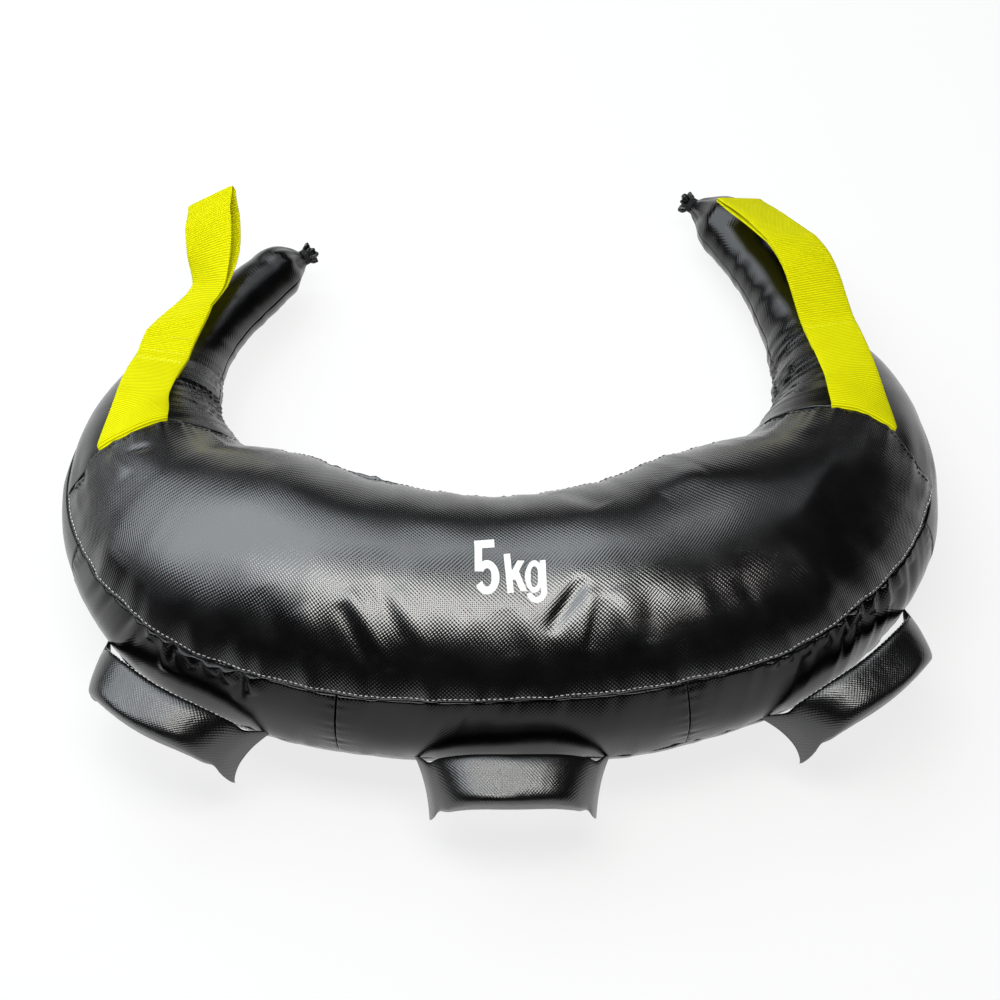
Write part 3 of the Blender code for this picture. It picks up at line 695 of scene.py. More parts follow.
def plain_thread(name, dark, light, rough):
    """Twisted sewing thread or cord."""
    finish = Finish(name, Metallic=0.0, Specular_IOR_Level=0.2)
    twist = finish.node("ShaderNodeTexWave", {"bands_direction": "DIAGONAL"}, out=1, Vector=finish.spots(),
                        Scale=0.3 / (0.9 * MM), Distortion=1.2)
    # The colour follows the twist's bands as the relief does: darker in the grooves between the strands,
    # which is painted shade.
    return finish.coat(dark, light, twist, rough + 0.1 * twist, twist, 0.0002)


def printed_ink():
    """White screen print with a faint texture of the vinyl under it."""
    finish = Finish("printed_ink", Metallic=0.0, Specular_IOR_Level=0.4)
    fine = finish.noise(700.0)
    return finish.coat((0.80, 0.80, 0.79), (0.93, 0.93, 0.92), fine, 0.38 + 0.12 * fine, fine, 0.00008)


def liner_cloth():
    """Plain cotton of the filled liner."""
    finish = Finish("liner_cloth", Metallic=0.0, Specular_IOR_Level=0.2)
    weave = finish.node("ShaderNodeTexBrick", {"offset": 0.5}, out=1, Vector=finish.spots(), Scale=420.0,
                        Mortar_Size=0.05)
    tone = finish.noise(60.0)
    return finish.coat((0.44, 0.41, 0.34), (0.62, 0.59, 0.51), tone, 0.86 + 0.1 * tone,
                       weave + tone * 0.4, 0.0003)


def foam():
    """Closed-cell foam of the grip rods."""
    finish = Finish("foam_cells", Metallic=0.0, Specular_IOR_Level=0.3)
    cells = finish.node("ShaderNodeTexVoronoi", Vector=finish.spots(), Scale=900.0)
    # The colour follows the cells as the relief does: darker in the cells' hollows, which is painted shade.
    return finish.coat((0.06, 0.06, 0.065), (0.19, 0.19, 0.2), cells, 0.85 + 0.1 * cells, cells, 0.0003)


VINYL = embossed_vinyl("embossed_vinyl", 1.1, 0.76, 0.12, 0.26)
GUSSET_VINYL = embossed_vinyl("gusset_vinyl", 0.7, 0.22, 0.12, 0.22)
HORN_VINYL = embossed_vinyl("horn_vinyl", 0.9, 0.34, 0.12, 0.22)
GRIP_VINYL = embossed_vinyl("grip_vinyl", 1.1, 0.62, 0.20, 0.32, 2.4 * MM)
WEBBING = ribbed_webbing()
WHITE_THREAD = plain_thread("white_thread", (0.55, 0.55, 0.53), (0.86, 0.86, 0.84), 0.6)
BLACK_THREAD = plain_thread("black_thread", (0.008, 0.008, 0.009), (0.03, 0.03, 0.032), 0.5)
YELLOW_THREAD = plain_thread("yellow_thread", (0.66, 0.62, 0.006), (0.92, 0.93, 0.10), 0.6)
INK = printed_ink()
LINER = liner_cloth()
FOAM = foam()


def at_share(value):
    """A straight cross seam."""
    return lambda angle: np.full(np.shape(angle), value)


def slanted(table):
    """A cross seam that slants round the tube."""
    return lambda angle: table_at(table, np.asarray(angle))


def outer_seam(share, turn=0):
    """The seam above the gusset, counted from 0 or from a whole turn on."""
    return turn + table_at(OUTER_SEAM_SHARES, share)


def neck_seam(share):
    """The seam along the neck side."""
    return table_at(NECK_SEAM_SHARES, share)


def lower_seam(share, turn=0):
    """The seam below the gusset, counted from 0 or from a whole turn on."""
    return np.full(np.shape(share), turn + LOWER_SEAM_DEG)


def make_skin():
    """All the vinyl panels."""
    left, right = slanted(LEFT_SHOULDER_SHARES), slanted(RIGHT_SHOULDER_SHARES)
    first, last = GUSSET_END_SHARES
    join_left, join_right = GUSSET_JOIN_SHARES
    upper = (outer_seam, neck_seam)
    round_outer = (neck_seam, lambda share: outer_seam(share, 360))
    round_lower = (neck_seam, lambda share: lower_seam(share, 360))
    start, end = at_share(0.0), at_share(1.0)
    left_folds = horn_relief(41, 0.165, 0.0)
    right_folds = horn_relief(51, 0.815, 1.0)
    sewn_panel("top_skin", "top_panel", (left, right), upper, 2.3 * MM, top_relief, VINYL)
    sewn_panel("under_skin", "bottom_panel", (at_share(first), at_share(last)), round_lower, 3.2 * MM,
               bottom_relief, VINYL)
    for name, low, high in (("left", first, join_left), ("center", join_left, join_right),
                            ("right", join_right, last)):
        sewn_panel(f"gusset_{name}_skin", f"gusset_{name}", (at_share(low), at_share(high)),
                   (lower_seam, outer_seam), 1.7 * MM, gusset_relief, GUSSET_VINYL)
    for name, ends, sides, step, folds in (
            ("left_top", (start, left), upper, 2.2, left_folds),
            ("right_top", (right, end), upper, 2.2, right_folds),
            ("left_under", (start, at_share(first)), round_outer, 2.4, left_folds),
            ("right_under", (at_share(last), end), round_outer, 2.4, right_folds)):
        sewn_panel(f"horn_{name}_skin", f"horn_{name}".replace("top", "upper"), ends, sides, step * MM, folds,
                   HORN_VINYL)


def make_filling():
    """The lumpy filled liner and the stuffing of both horns."""
    for name, node, start, end in (("filled_liner", "filler_bag", 0.229, 0.739),
                                   ("left_horn_stuffing", "horn_left_stuffing", 0.024, 0.223),
                                   ("right_horn_stuffing", "horn_right_stuffing", 0.745, 0.976)):
        share, angle = np.meshgrid(np.linspace(start, end, 90), np.linspace(0, 360, 49)[:-1], indexing="ij")
        lumps = 0.9 * billow(share * TUBE.length / MM, angle * 0.8, 38, 61)
        inset = np.minimum(6.0, smooth_curve(share, TUBE.knots, TUBE.heights) / MM * 0.4)
        places = TUBE.surface(share, angle, (lumps * inset / 6 - inset) * MM)
        places[..., 2] = np.maximum(places[..., 2], 4 * MM)
        rows, columns = places.shape[:2]
        faces = grid_faces(rows, columns, closed=True).tolist()
        points = places.reshape(-1, 3).tolist()
        for ring in (0, rows - 1):
            centre = len(points)
            points.append(places[ring].mean(0).tolist())
            first = ring * columns
            faces.extend([[first + j, first + (j + 1) % columns, centre] for j in range(columns)])
        fit(add_mesh(name, points, faces, LINER), "bag", [node])


def capsules(places, directions, ups, length, radius, sides=6):
    """Points and faces of many short stitches."""
    directions = unit(directions)
    ups = unit(ups)
    across = unit(np.cross(directions, ups))
    profile = ((-0.5, 0.35), (-0.42, 0.8), (-0.2, 1.0), (0.2, 1.0), (0.42, 0.8), (0.5, 0.35))
    points = []
    for reach, size in profile:
        sink = -abs(reach) ** 3 * 4 * radius
        for turn in circle(sides):
            points.append(places + directions * reach * length + ups * (sink + radius * size * math.sin(turn))
                          + across * radius * size * math.cos(turn))
    points = np.stack(points, 1)
    count = len(profile) * sides
    one = grid_faces(len(profile), sides, closed=True)
    faces = (one[None] + np.arange(len(places))[:, None, None] * count).reshape(-1, 4).tolist()
    for k in range(len(places)):
        faces.append([k * count + j for j in range(sides)])
        faces.append([k * count + count - 1 - j for j in range(sides)])
    return points.reshape(-1, 3), faces


def stitch_line(name, places, ups, size, finish, body="bag"):
    """A run of stitches of a length, gap and radius along a line of places."""
    length, gap, radius = size
    steps = run_along(places)
    middles = np.arange(length / 2 + gap, steps[-1] - length / 2, length + gap)

    def at(reach, table):
        return np.stack([np.interp(middles + reach, steps, column) for column in np.asarray(table).T], -1)

    ways = at(length / 2, places) - at(-length / 2, places)
    points, faces = capsules(at(0.0, places), ways, at(0.0, ups), length, radius)
    fit(add_mesh(name, points, faces, finish), body)


def skin_line(panel, shares, angles, above):
    """Places just above a panel, and the way out of it there."""
    height = height_on(panel, shares, angles)
    return TUBE.surface(shares, angles, height * MM + above), TUBE.normal(shares, angles)


def angle_step(share, angle, distance):
    """The angle that spans a distance round the tube."""
    near = TUBE.surface(share, angle + 0.5) - TUBE.surface(share, angle - 0.5)
    return distance / np.linalg.norm(near, axis=-1)


def make_stitches():
    """White stitches along the top seam and black ones along the other seams."""
    shares = np.linspace(0.236, 0.724, 900)
    for name, seam, distance, above, size, thread in (
            ("top_seam", outer_seam, 2.8, 0.4, TOP_STITCH, WHITE_THREAD),
            ("neck_seam", neck_seam, -3.4, 0.1, SEAM_STITCH, BLACK_THREAD)):
        angles = seam(shares)
        angles = angles + angle_step(shares, angles, distance * MM)
        line, ups = skin_line("top_skin", shares, angles, above * MM)
        stitch_line(f"{name}_stitches", line, ups, size, thread)
    angles = np.linspace(34, 150, 200)
    for side, table, way in (("left", LEFT_SHOULDER_SHARES, 1), ("right", RIGHT_SHOULDER_SHARES, -1)):
        shares = table_at(table, angles) + way * 3.4 * MM / TUBE.length
        line, ups = skin_line("top_skin", shares, angles, 0.1 * MM)
        stitch_line(f"shoulder_{side}_stitches", line, ups, SEAM_STITCH, BLACK_THREAD)


def glyph_field(x, y):
    """How far inside the figure 5 and the letters k and g a pixel lies."""
    def bar(a, b, half):
        a, b = np.array(a, float), np.array(b, float)
        ray = b - a
        size = np.hypot(*ray)
        t = ((x - a[0]) * ray[0] + (y - a[1]) * ray[1]) / size
        off = np.abs((x - a[0]) * ray[1] - (y - a[1]) * ray[0]) / size
        return np.minimum(half - off, np.minimum(t, size - t))

    def bow(centre, radii, half, low, high):
        dx, dy = (x - centre[0]) / radii[0], (y - centre[1]) / radii[1]
        size = np.maximum(np.hypot(dx, dy), 1e-6)
        reach = np.hypot(x - centre[0], y - centre[1])
        inside = half - np.abs(1 - 1 / size) * reach
        turn = np.degrees(np.arctan2(-dy, dx))
        turn = np.where(turn < low, turn + 360, turn)
        return np.where((turn >= low) & (turn <= high), inside, -1.0)

    five = np.maximum(bar((474.4, 545.0), (494.2, 543.4), 3.8), bar((478.2, 541.2), (478.4, 571.0), 3.7))
    five = np.maximum(five, bow((487.0, 577.0), (8.5, 13.2), 4.0, -154, 142))
    k = bar((506.8, 553.6), (510.8, 592.2), 3.2)
    k = np.maximum(k, np.minimum(bar((511.2, 578.0), (523.0, 556.6), 3.1), y - 560.2))
    k = np.maximum(k, np.minimum(bar((514.3, 568.6), (526.2, 595.4), 3.2), 590.7 - y))
    g = bow((534.4, 576.0), (6.5, 13.2), 2.9, -180, 180)
    g = np.maximum(g, bar((542.6, 559.8), (544.4, 592.6), 2.9))
    g = np.maximum(g, bow((536.8, 591.0), (7.4, 8.2), 3.0, -170, 8))
    return np.maximum(five, np.maximum(k, g))


def make_lettering():
    """The printed mass, on the top panel's own folds."""
    step = 0.4
    xs, ys = np.arange(470, 552, step), np.arange(536, 606, step)
    x, y = np.meshgrid(xs, ys, indexing="ij")
    inside = glyph_field(x, y)
    found, points, faces = {}, [], []

    def spot(key, px, py):
        if key not in found:
            found[key] = len(points)
            points.append((px, py))
        return found[key]

    for i in range(len(xs) - 1):
        for j in range(len(ys) - 1):
            corners = ((i, j), (i + 1, j), (i + 1, j + 1), (i, j + 1))
            values = [inside[c] for c in corners]
            if max(values) <= 0:
                continue
            face = []
            for n in range(4):
                a, b = corners[n], corners[(n + 1) % 4]
                fa, fb = values[n], values[(n + 1) % 4]
                if fa > 0:
                    face.append(spot(a, xs[a[0]], ys[a[1]]))
                if (fa > 0) != (fb > 0):
                    t = fa / (fa - fb)
                    face.append(spot(tuple(sorted((a, b))), xs[a[0]] + (xs[b[0]] - xs[a[0]]) * t,
                                     ys[a[1]] + (ys[b[1]] - ys[a[1]]) * t))
            if len(face) > 2:
                faces.append(face)
    points = np.array(points)
    centre = np.array([510.0, 572.0])
    share, angle = under_pixel(*centre)
    here = PHOTO.pixels(TUBE.surface(share, angle))
    slopes = np.stack([(PHOTO.pixels(TUBE.surface(share + 1e-3, angle)) - here) / 1e-3,
                       PHOTO.pixels(TUBE.surface(share, angle + 1)) - here], -1)
    miss = points - centre
    for _ in range(4):
        spread = np.linalg.solve(slopes, miss.T).T
        share, angle = share + spread[:, 0], angle + spread[:, 1]
        miss = points - PHOTO.pixels(TUBE.surface(share, angle))
    height = height_on("top_skin", share, angle)
    places = TUBE.surface(share, angle, height * MM + INK_LIFT)
    fit(add_mesh("printed_mass", places, faces, INK), "bag")


def make_tip(side, share, sign):
    """The gathered end of a horn and the cord that ties it."""
    centre = TUBE.centre(share)
    along = TUBE.along(share) * sign
    across = np.array([along[1], -along[0], 0.0])
    up = np.array([0.0, 0.0, 1.0])
    chance = np.random.default_rng(71 if side == "left" else 72)
    phases = chance.uniform(0, 2 * math.pi, 4)

    def ring(turns):
        return across * np.cos(turns)[:, None] + up * np.sin(turns)[:, None]

    turns = circle(96)
    rows = []
    profile = ((-2.5, 7.2, 0.03), (-1.0, 6.4, 0.06), (0.6, 5.2, 0.10), (2.4, 4.8, 0.14), (3.8, 5.3, 0.18),
               (4.8, 6.4, 0.20), (5.8, 7.2, 0.20), (7.0, 7.7, 0.19), (8.2, 7.9, 0.19), (9.2, 7.7, 0.20),
               (9.7, 7.1, 0.22), (9.3, 6.1, 0.24), (8.2, 4.7, 0.26), (7.0, 3.1, 0.26), (6.2, 1.5, 0.2))
    for ahead, radius, depth in profile:
        wave = (np.cos(turns * 8 + phases[0] + 0.5 * np.sin(2 * turns))
                + 0.45 * np.cos(turns * 13 + phases[1]) + 0.3 * np.cos(turns * 3 + phases[2]))
        size = radius * (1 + depth * (wave - 0.5)) * MM
        lean = 1.0 * MM * np.cos(turns * 3 + phases[3]) * (ahead > 7.5)
        rows.append(centre + along * (ahead * MM + lean)[:, None] + size[:, None] * ring(turns))
    places = np.stack(rows)
    faces = grid_faces(len(rows), len(turns), closed=True).tolist()
    last = (len(rows) - 1) * len(turns)
    faces.append([last + i for i in range(len(turns))])
    uv = np.stack(np.broadcast_arrays(np.arange(len(rows))[:, None] * 1.8 * MM, turns[None] * 7 * MM), -1)
    fit(add_mesh(f"horn_{side}_gather", places, faces, HORN_VINYL, uv), "bag", [f"horn_{side}_tuft"])
    turns = np.linspace(0, 2 * math.pi * 3, 145)
    reach = (0.3 + 1.3 * turns / (2 * math.pi)) * MM
    spine = centre + along * reach[:, None] + 5.3 * MM * ring(turns)
    fit(tube_mesh(f"horn_{side}_tie", spine, 0.75 * MM, BLACK_THREAD), "bag",
        [f"horn_{side}_binding"])


def tube_mesh(name, spine, radius, finish, sides=10):
    """A round cord along a line of places."""
    ahead = unit(np.gradient(spine, axis=0))
    side = unit(np.cross(ahead, (0.1, 0.2, 1.0)))
    over = np.cross(ahead, side)
    turns = circle(sides)
    places = (spine[:, None] + radius * (side[:, None] * np.cos(turns)[None, :, None]
                                         + over[:, None] * np.sin(turns)[None, :, None]))
    return add_mesh(name, places, capped_faces(len(spine), sides), finish)


class Spot:
    """A place on a ribbon: its centre, and unit vectors along, out of and across it."""

    def __init__(self, centre, along, across):
        self.centre = np.array(centre, float)
        self.across = unit(across)
        self.along = unit(along - np.dot(along, self.across) * self.across)
        self.out = np.cross(self.across, self.along)

    def at(self, ahead, lift):
        """A point near the spot's centre."""
        return self.centre + self.along * ahead + self.out * lift


def tail_spots(strap, count=40):
    """Spots along a strap's sewn-down stretch."""
    (share_0, angle_0), (share_1, angle_1) = strap["root_shares"], strap["tail_shares"]
    t = np.linspace(0, 1, count + 1)
    share = share_0 + (share_1 - share_0) * t
    angle = angle_0 + (angle_1 - angle_0) * t + strap["bow"] * np.sin(math.pi * t)
    normals = TUBE.normal(share, angle)
    centres = TUBE.surface(share, angle) + normals * (WEBBING_PLY + FIT_GAP + strap["lift"] * t)[:, None]
    alongs = np.gradient(centres, axis=0)
    return [Spot(c, a, np.cross(a, n)) for c, a, n in zip(centres, alongs, normals)]


def loop_spots(strap, tail_end, count=48):
    """Spots along a hand loop, from its bar tack to its far end."""
    knots = np.array((0.0, strap["bend_shares"][1] / strap["top_shares"][1], 1.0))
    table = np.array([(0.0, 0.0, 0.0), strap["bend_shares"], strap["top_shares"]]) * LOOP_LENGTH
    start = tail_end.centre + tail_end.along * (WEBBING_PLY * 2 + FIT_GAP)
    spots = []
    for t in np.linspace(0, 1, count + 1):
        ahead = (smooth_curve(min(t + 0.01, 1.0), knots, table)
                 - smooth_curve(max(t - 0.01, 0.0), knots, table))
        turn = soft_step(t)
        across = tail_end.across * (1 - turn) + np.array(strap["width_shares"]) * turn
        twist = math.sin(math.pi * min(max(t - 0.06, 0) * 1.3, 1.0)) ** 2
        across = across + np.array(strap["twist_shares"]) * twist
        sway = np.array([strap["sway"] * math.sin(math.pi * min(t / 0.5, 1.0)), 0.0, 0.0])
        spots.append(Spot(start + smooth_curve(t, knots, table) + sway, ahead, across))
    return spots


COLUMN_SHARES = np.sin(np.linspace(-0.5, 0.5, 17) * math.pi)


def ribbon(name, sheet, thickness, finish):
    """A woven strap round a sheet of places, rows along it and columns across, with soft edges."""
    sheet = np.asarray(sheet)
    normal = unit(np.cross(np.gradient(sheet, axis=1), np.gradient(sheet, axis=0)))
    half = thickness / 2 * np.sqrt(np.maximum(1 - COLUMN_SHARES ** 12, 0.05))
    top = sheet + normal * half[None, :, None]
    under = sheet - normal * half[None, :, None]
    ring = np.concatenate([top, under[:, ::-1]], 1)
    middle = sheet[:, sheet.shape[1] // 2]
    reach = COLUMN_SHARES * WEBBING_WIDTH / 2
    across = np.concatenate([reach, reach[::-1]])
    uv = np.stack(np.broadcast_arrays(run_along(middle)[:, None], across[None]), -1)
    count = ring.shape[1]
    faces = grid_faces(len(sheet), count, closed=True).tolist()
    for row in (0, len(sheet) - 1):
        base = row * count
        for j in range(len(reach) - 1):
            faces.append([base + j, base + j + 1, base + count - 2 - j, base + count - 1 - j])
    return add_mesh(name, ring, faces, finish, uv)


def root_rows(strap, reach):
    """The strap's first rows, tucked into the shoulder seam and turned out over the horn."""
    angles = strap["root_shares"][1] + strap["side"] * reach / strap["root_arc"]
    seam = table_at(strap["seam"], angles)
    step = strap["side"] * MM / TUBE.length
    return [TUBE.surface(seam + back * step, angles, lift * MM)
            for back, lift in ((6, -6.0), (2, -4.0), (0, -1.7), (-1.3, 0.2), (-3.0, 1.6))]


def tail_rows(tail, root, reach):
    """Rows of the upper ply on the horn, cupped at the seam and flat at the bar tack."""
    rows = []
    for i, spot in enumerate(tail[1:], 1):
        t = i / (len(tail) - 1)
        cup = 9.0 * (1 - t) ** 1.5 + 1.5
        flat = spot.at(0.0, STRAP_PLY / 2 + PLY_GAP) + spot.across * reach[:, None]
        flat = flat - spot.out * (cup * reach ** 2 / 2)[:, None]
        near = 1 - soft_step(t / 0.5)
        rows.append((root + (spot.centre - tail[0].centre)) * near + flat * (1 - near))
    return rows


def loop_rows(strap, loop, gaps, reach, wrinkle):
    """Rows of the hand loop: out along its upper ply, round its end and back along the lower ply."""
    count = len(loop) - 1
    place, lean, depth = strap["crease"]

    def ply_row(i, sign):
        t = i / count
        bulge = 0.5 * MM * np.sin(reach * 130 + wrinkle[0] + 5 * t) * np.sin(math.pi * t)
        bulge = bulge + 0.7 * MM * np.sin(9 * t + wrinkle[1]) * np.sin(math.pi * t)
        slant = t - place - lean * (2 * reach / WEBBING_WIDTH + 1)
        crease = depth * MM * np.exp(-np.abs(slant) / 0.045)
        return (loop[i].at(0.0, sign * gaps[i]) + loop[i].across * reach[:, None]
                + loop[i].out * (bulge - sign * 1.5 * reach ** 2 / 2 + crease)[:, None])

    rows = [ply_row(i, 1) for i in range(1, count + 1)]
    for turn in np.radians((65, 40, 15, -15, -40, -65)):
        rows.append(loop[-1].at(gaps[-1] * 1.2 * math.cos(turn), gaps[-1] * math.sin(turn))
                    + loop[-1].across * reach[:, None])
    return rows + [ply_row(i, -1) for i in range(count, 0, -1)]


def make_tack(side, lines):
    """Rows of stitches across the strap, each at a spot and a height over it."""
    spots = [spot.at(0.0, lift + STRAP_PLY / 2 + 0.1 * MM) + spot.across * across
             for spot, lift in lines for across in TACK_PLACES]
    ways = [spot.across for spot, _ in lines for _ in TACK_PLACES]
    ups = [spot.out for spot, _ in lines for _ in TACK_PLACES]
    points, faces = capsules(np.array(spots), np.array(ways), np.array(ups), *TACK_STITCH)
    tack = add_mesh(f"strap_{side}_bar_tack", points, faces, YELLOW_THREAD)
    fit(tack)
    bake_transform(tack)


def make_strap(side):
    """A continuous webbing strap: sewn tail, bar tack and open hand loop."""
    strap = STRAPS[side]
    tail = tail_spots(strap)
    loop = loop_spots(strap, tail[-1])
    reach = COLUMN_SHARES * WEBBING_WIDTH / 2
    t = np.linspace(0, 1, len(loop))
    swell = soft_step((t - 0.42) / 0.42) * (1 - 0.72 * soft_step((t - 0.86) / 0.14))
    gaps = STRAP_PLY / 2 + PLY_GAP + strap["opening"] * swell
    wrinkle = np.random.default_rng(strap["seed"]).uniform(0, 6, 3)
    rows = root_rows(strap, reach)
    rows += tail_rows(tail, rows[-1], reach) + loop_rows(strap, loop, gaps, reach, wrinkle)
    for spot in tail[-1:-12:-1]:
        rows.append(spot.at(0.0, -STRAP_PLY / 2 - PLY_GAP) + spot.across * reach[:, None])
    piece = ribbon(f"strap_{side}_webbing", rows, STRAP_PLY, WEBBING)
    fit(piece, nodes=[f"strap_{side}_tail", f"strap_{side}_loop"])
    joint = {"start": tuple(loop[0].at(-7 * MM, 0.0)), "end": tuple(loop[0].at(5 * MM, 0.0))}
    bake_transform(piece)
    lines = [(loop[i], gaps[i]) if part == "loop" else (tail[i], STRAP_PLY / 2) for part, i in strap["tacks"]]
    make_tack(side, lines)


class Grip:
    """The frame of a padded grip, sewn to the lower seam at its two upper corners."""

    def __init__(self, shares):
        stand_off = GRIP_END_THICKNESS / 2 + FIT_GAP
        self.start, self.end = TUBE.surface(np.array(shares), LOWER_SEAM_DEG, stand_off)
        self.along = unit(self.end - self.start)
        self.out = unit(np.cross(self.along, (0.0, 0.0, 1.0)))
        self.up = np.cross(self.out, self.along)
        self.half_length = float(np.linalg.norm(self.end - self.start) / 2)
        self.middle = (self.start + self.end) / 2
        belly = TUBE.surface(sum(shares) / 2, 0.0)
        self.belly_out = float(np.dot(belly - self.middle, self.out))

    def bend(self, v, level, side):
        """Places of points given by v along the grip, level down it and side out of it."""
        fullness = np.clip(1 - np.abs(v) ** 3.8, 0, 1)[:, None]
        end_drop, middle_drop = math.radians(COVER_END_DROP_DEG), math.radians(COVER_MIDDLE_DROP_DEG)
        drop = end_drop + (middle_drop - end_drop) * fullness ** 0.5
        hang = np.cos(drop) * self.out - np.sin(drop) * self.up
        face = np.sin(drop) * self.out + np.cos(drop) * self.up
        end_reach = (GRIP_HEIGHT - GRIP_END_THICKNESS) / 2
        end_place = end_reach * (math.cos(end_drop) * self.out - math.sin(end_drop) * self.up)
        reach = POUCH_HALF_HEIGHT - POUCH_NARROWING
        middle_place = (reach * math.cos(middle_drop) * self.out
                        + (COVER_RISE + 0.75 * self.belly_out - reach * math.sin(middle_drop)) * self.up)
        centre = self.middle + end_place * (1 - fullness) + middle_place * fullness
        stand_off = 1.07 * self.belly_out * (1 - v * v) + COVER_GAP * (1 - v ** 8)
        centre = centre + np.maximum(stand_off, 0.0)[:, None] * self.out
        taper = 1 - GRIP_TAPER_SHARE * (level + GRIP_HEIGHT / 2) / GRIP_HEIGHT
        return (centre + level[:, None] * hang + side[:, None] * face
                + (v * self.half_length * taper)[:, None] * self.along)


def pouch_start(columns=97, around=64):
    """A sleeve sewn flat at both ends and padded between them: rings of points."""
    u = np.linspace(-1, 1, columns)
    turn = circle(around)
    rings = []
    for at in u:
        fat = 1 - abs(at) ** 10
        half_height = POUCH_HALF_HEIGHT - POUCH_NARROWING * fat
        half_thick = POUCH_HALF_EDGE + POUCH_HALF_THICKNESS * fat ** 0.8
        boxy = 1 - 0.42 * fat
        side = np.sign(np.cos(turn)) * np.abs(np.cos(turn)) ** boxy * half_thick
        level = np.sign(np.sin(turn)) * np.abs(np.sin(turn)) ** (1 - 0.30 * fat) * half_height
        dent = 0.25 * MM * np.sin(turn * 3 + at * 5) * (1 - at ** 8)
        along = np.full(around, at * POUCH_LENGTH / 2)
        rings.append(np.stack([along, side + dent * np.cos(turn), level], -1))
    return np.stack(rings)


def inflated_pouch(seed):
    """The sleeve with cloth folds at its sewn ends, and the line of its flap."""
    rings = pouch_start()
    columns, around = rings.shape[:2]
    chance = np.random.default_rng(seed)
    rings[2:-2] += chance.normal(0, 0.05 * MM, rings[2:-2].shape)
    faces = grid_faces(columns, around, closed=True)
    mesh = bpy.data.meshes.new("pouch_start")
    mesh.from_pydata(rings.reshape(-1, 3).tolist(), [], faces.tolist())
    arc = run_along(np.concatenate([rings[columns // 2], rings[columns // 2][:1]]))
    i, j = np.meshgrid(np.arange(columns - 1), np.arange(around), indexing="ij")
    x = rings[:, 0, 0]
    corners = np.stack([np.stack([x[i], arc[j]], -1), np.stack([x[i + 1], arc[j]], -1),
                        np.stack([x[i + 1], arc[j + 1]], -1), np.stack([x[i], arc[j + 1]], -1)], 2)
    mesh.uv_layers.new(name="UVMap").data.foreach_set("uv", corners.ravel())
    pouch = in_scene(bpy.data.objects.new("pouch_start", mesh))
    group = pouch.vertex_groups.new(name="sewn_ends")
    group.add(list(range(around)) + list(range((columns - 1) * around, columns * around)), 1.0, "REPLACE")
    cloth = pouch.modifiers.new("Cloth", "CLOTH")
    for key, value in POUCH_CLOTH.items():
        setattr(cloth.settings, key, value)
    cloth.settings.effector_weights.gravity = 0.0
    cloth.collision_settings.use_collision = False
    cloth.point_cache.frame_start = 1
    cloth.point_cache.frame_end = POUCH_FRAMES
    for number in range(1, POUCH_FRAMES + 1):
        bpy.context.scene.frame_set(number)
    shaped = pouch.evaluated_get(bpy.context.evaluated_depsgraph_get())
    places = np.zeros(columns * around * 3)
    shaped.data.vertices.foreach_get("co", places)
    places = places.reshape(columns, around, 3)
    pouch.modifiers.clear()
    bpy.context.scene.frame_set(1)
    moved = places - rings
    for axis, mode in enumerate(("edge", "wrap")):
        near = np.pad(moved, [(int(k == axis),) * 2 for k in range(3)], mode)
        moved = 0.5 * moved + 0.25 * (np.take(near, range(2, near.shape[axis]), axis)
                                      + np.take(near, range(near.shape[axis] - 2), axis))
    rings = rings + POUCH_MOVEMENT * np.tanh(moved / POUCH_MOVEMENT)
    mesh.vertices.foreach_set("co", rings.ravel())
    pouch.modifiers.new("Finer", "SUBSURF").levels = 1
    bpy.context.view_layer.update()
    fine = bpy.data.meshes.new_from_object(pouch.evaluated_get(bpy.context.evaluated_depsgraph_get()))
    bpy.data.objects.remove(pouch, do_unlink=True)
    return fine, rings[FLAP_ROW_ENDS:-FLAP_ROW_ENDS, around // 4 - 4]


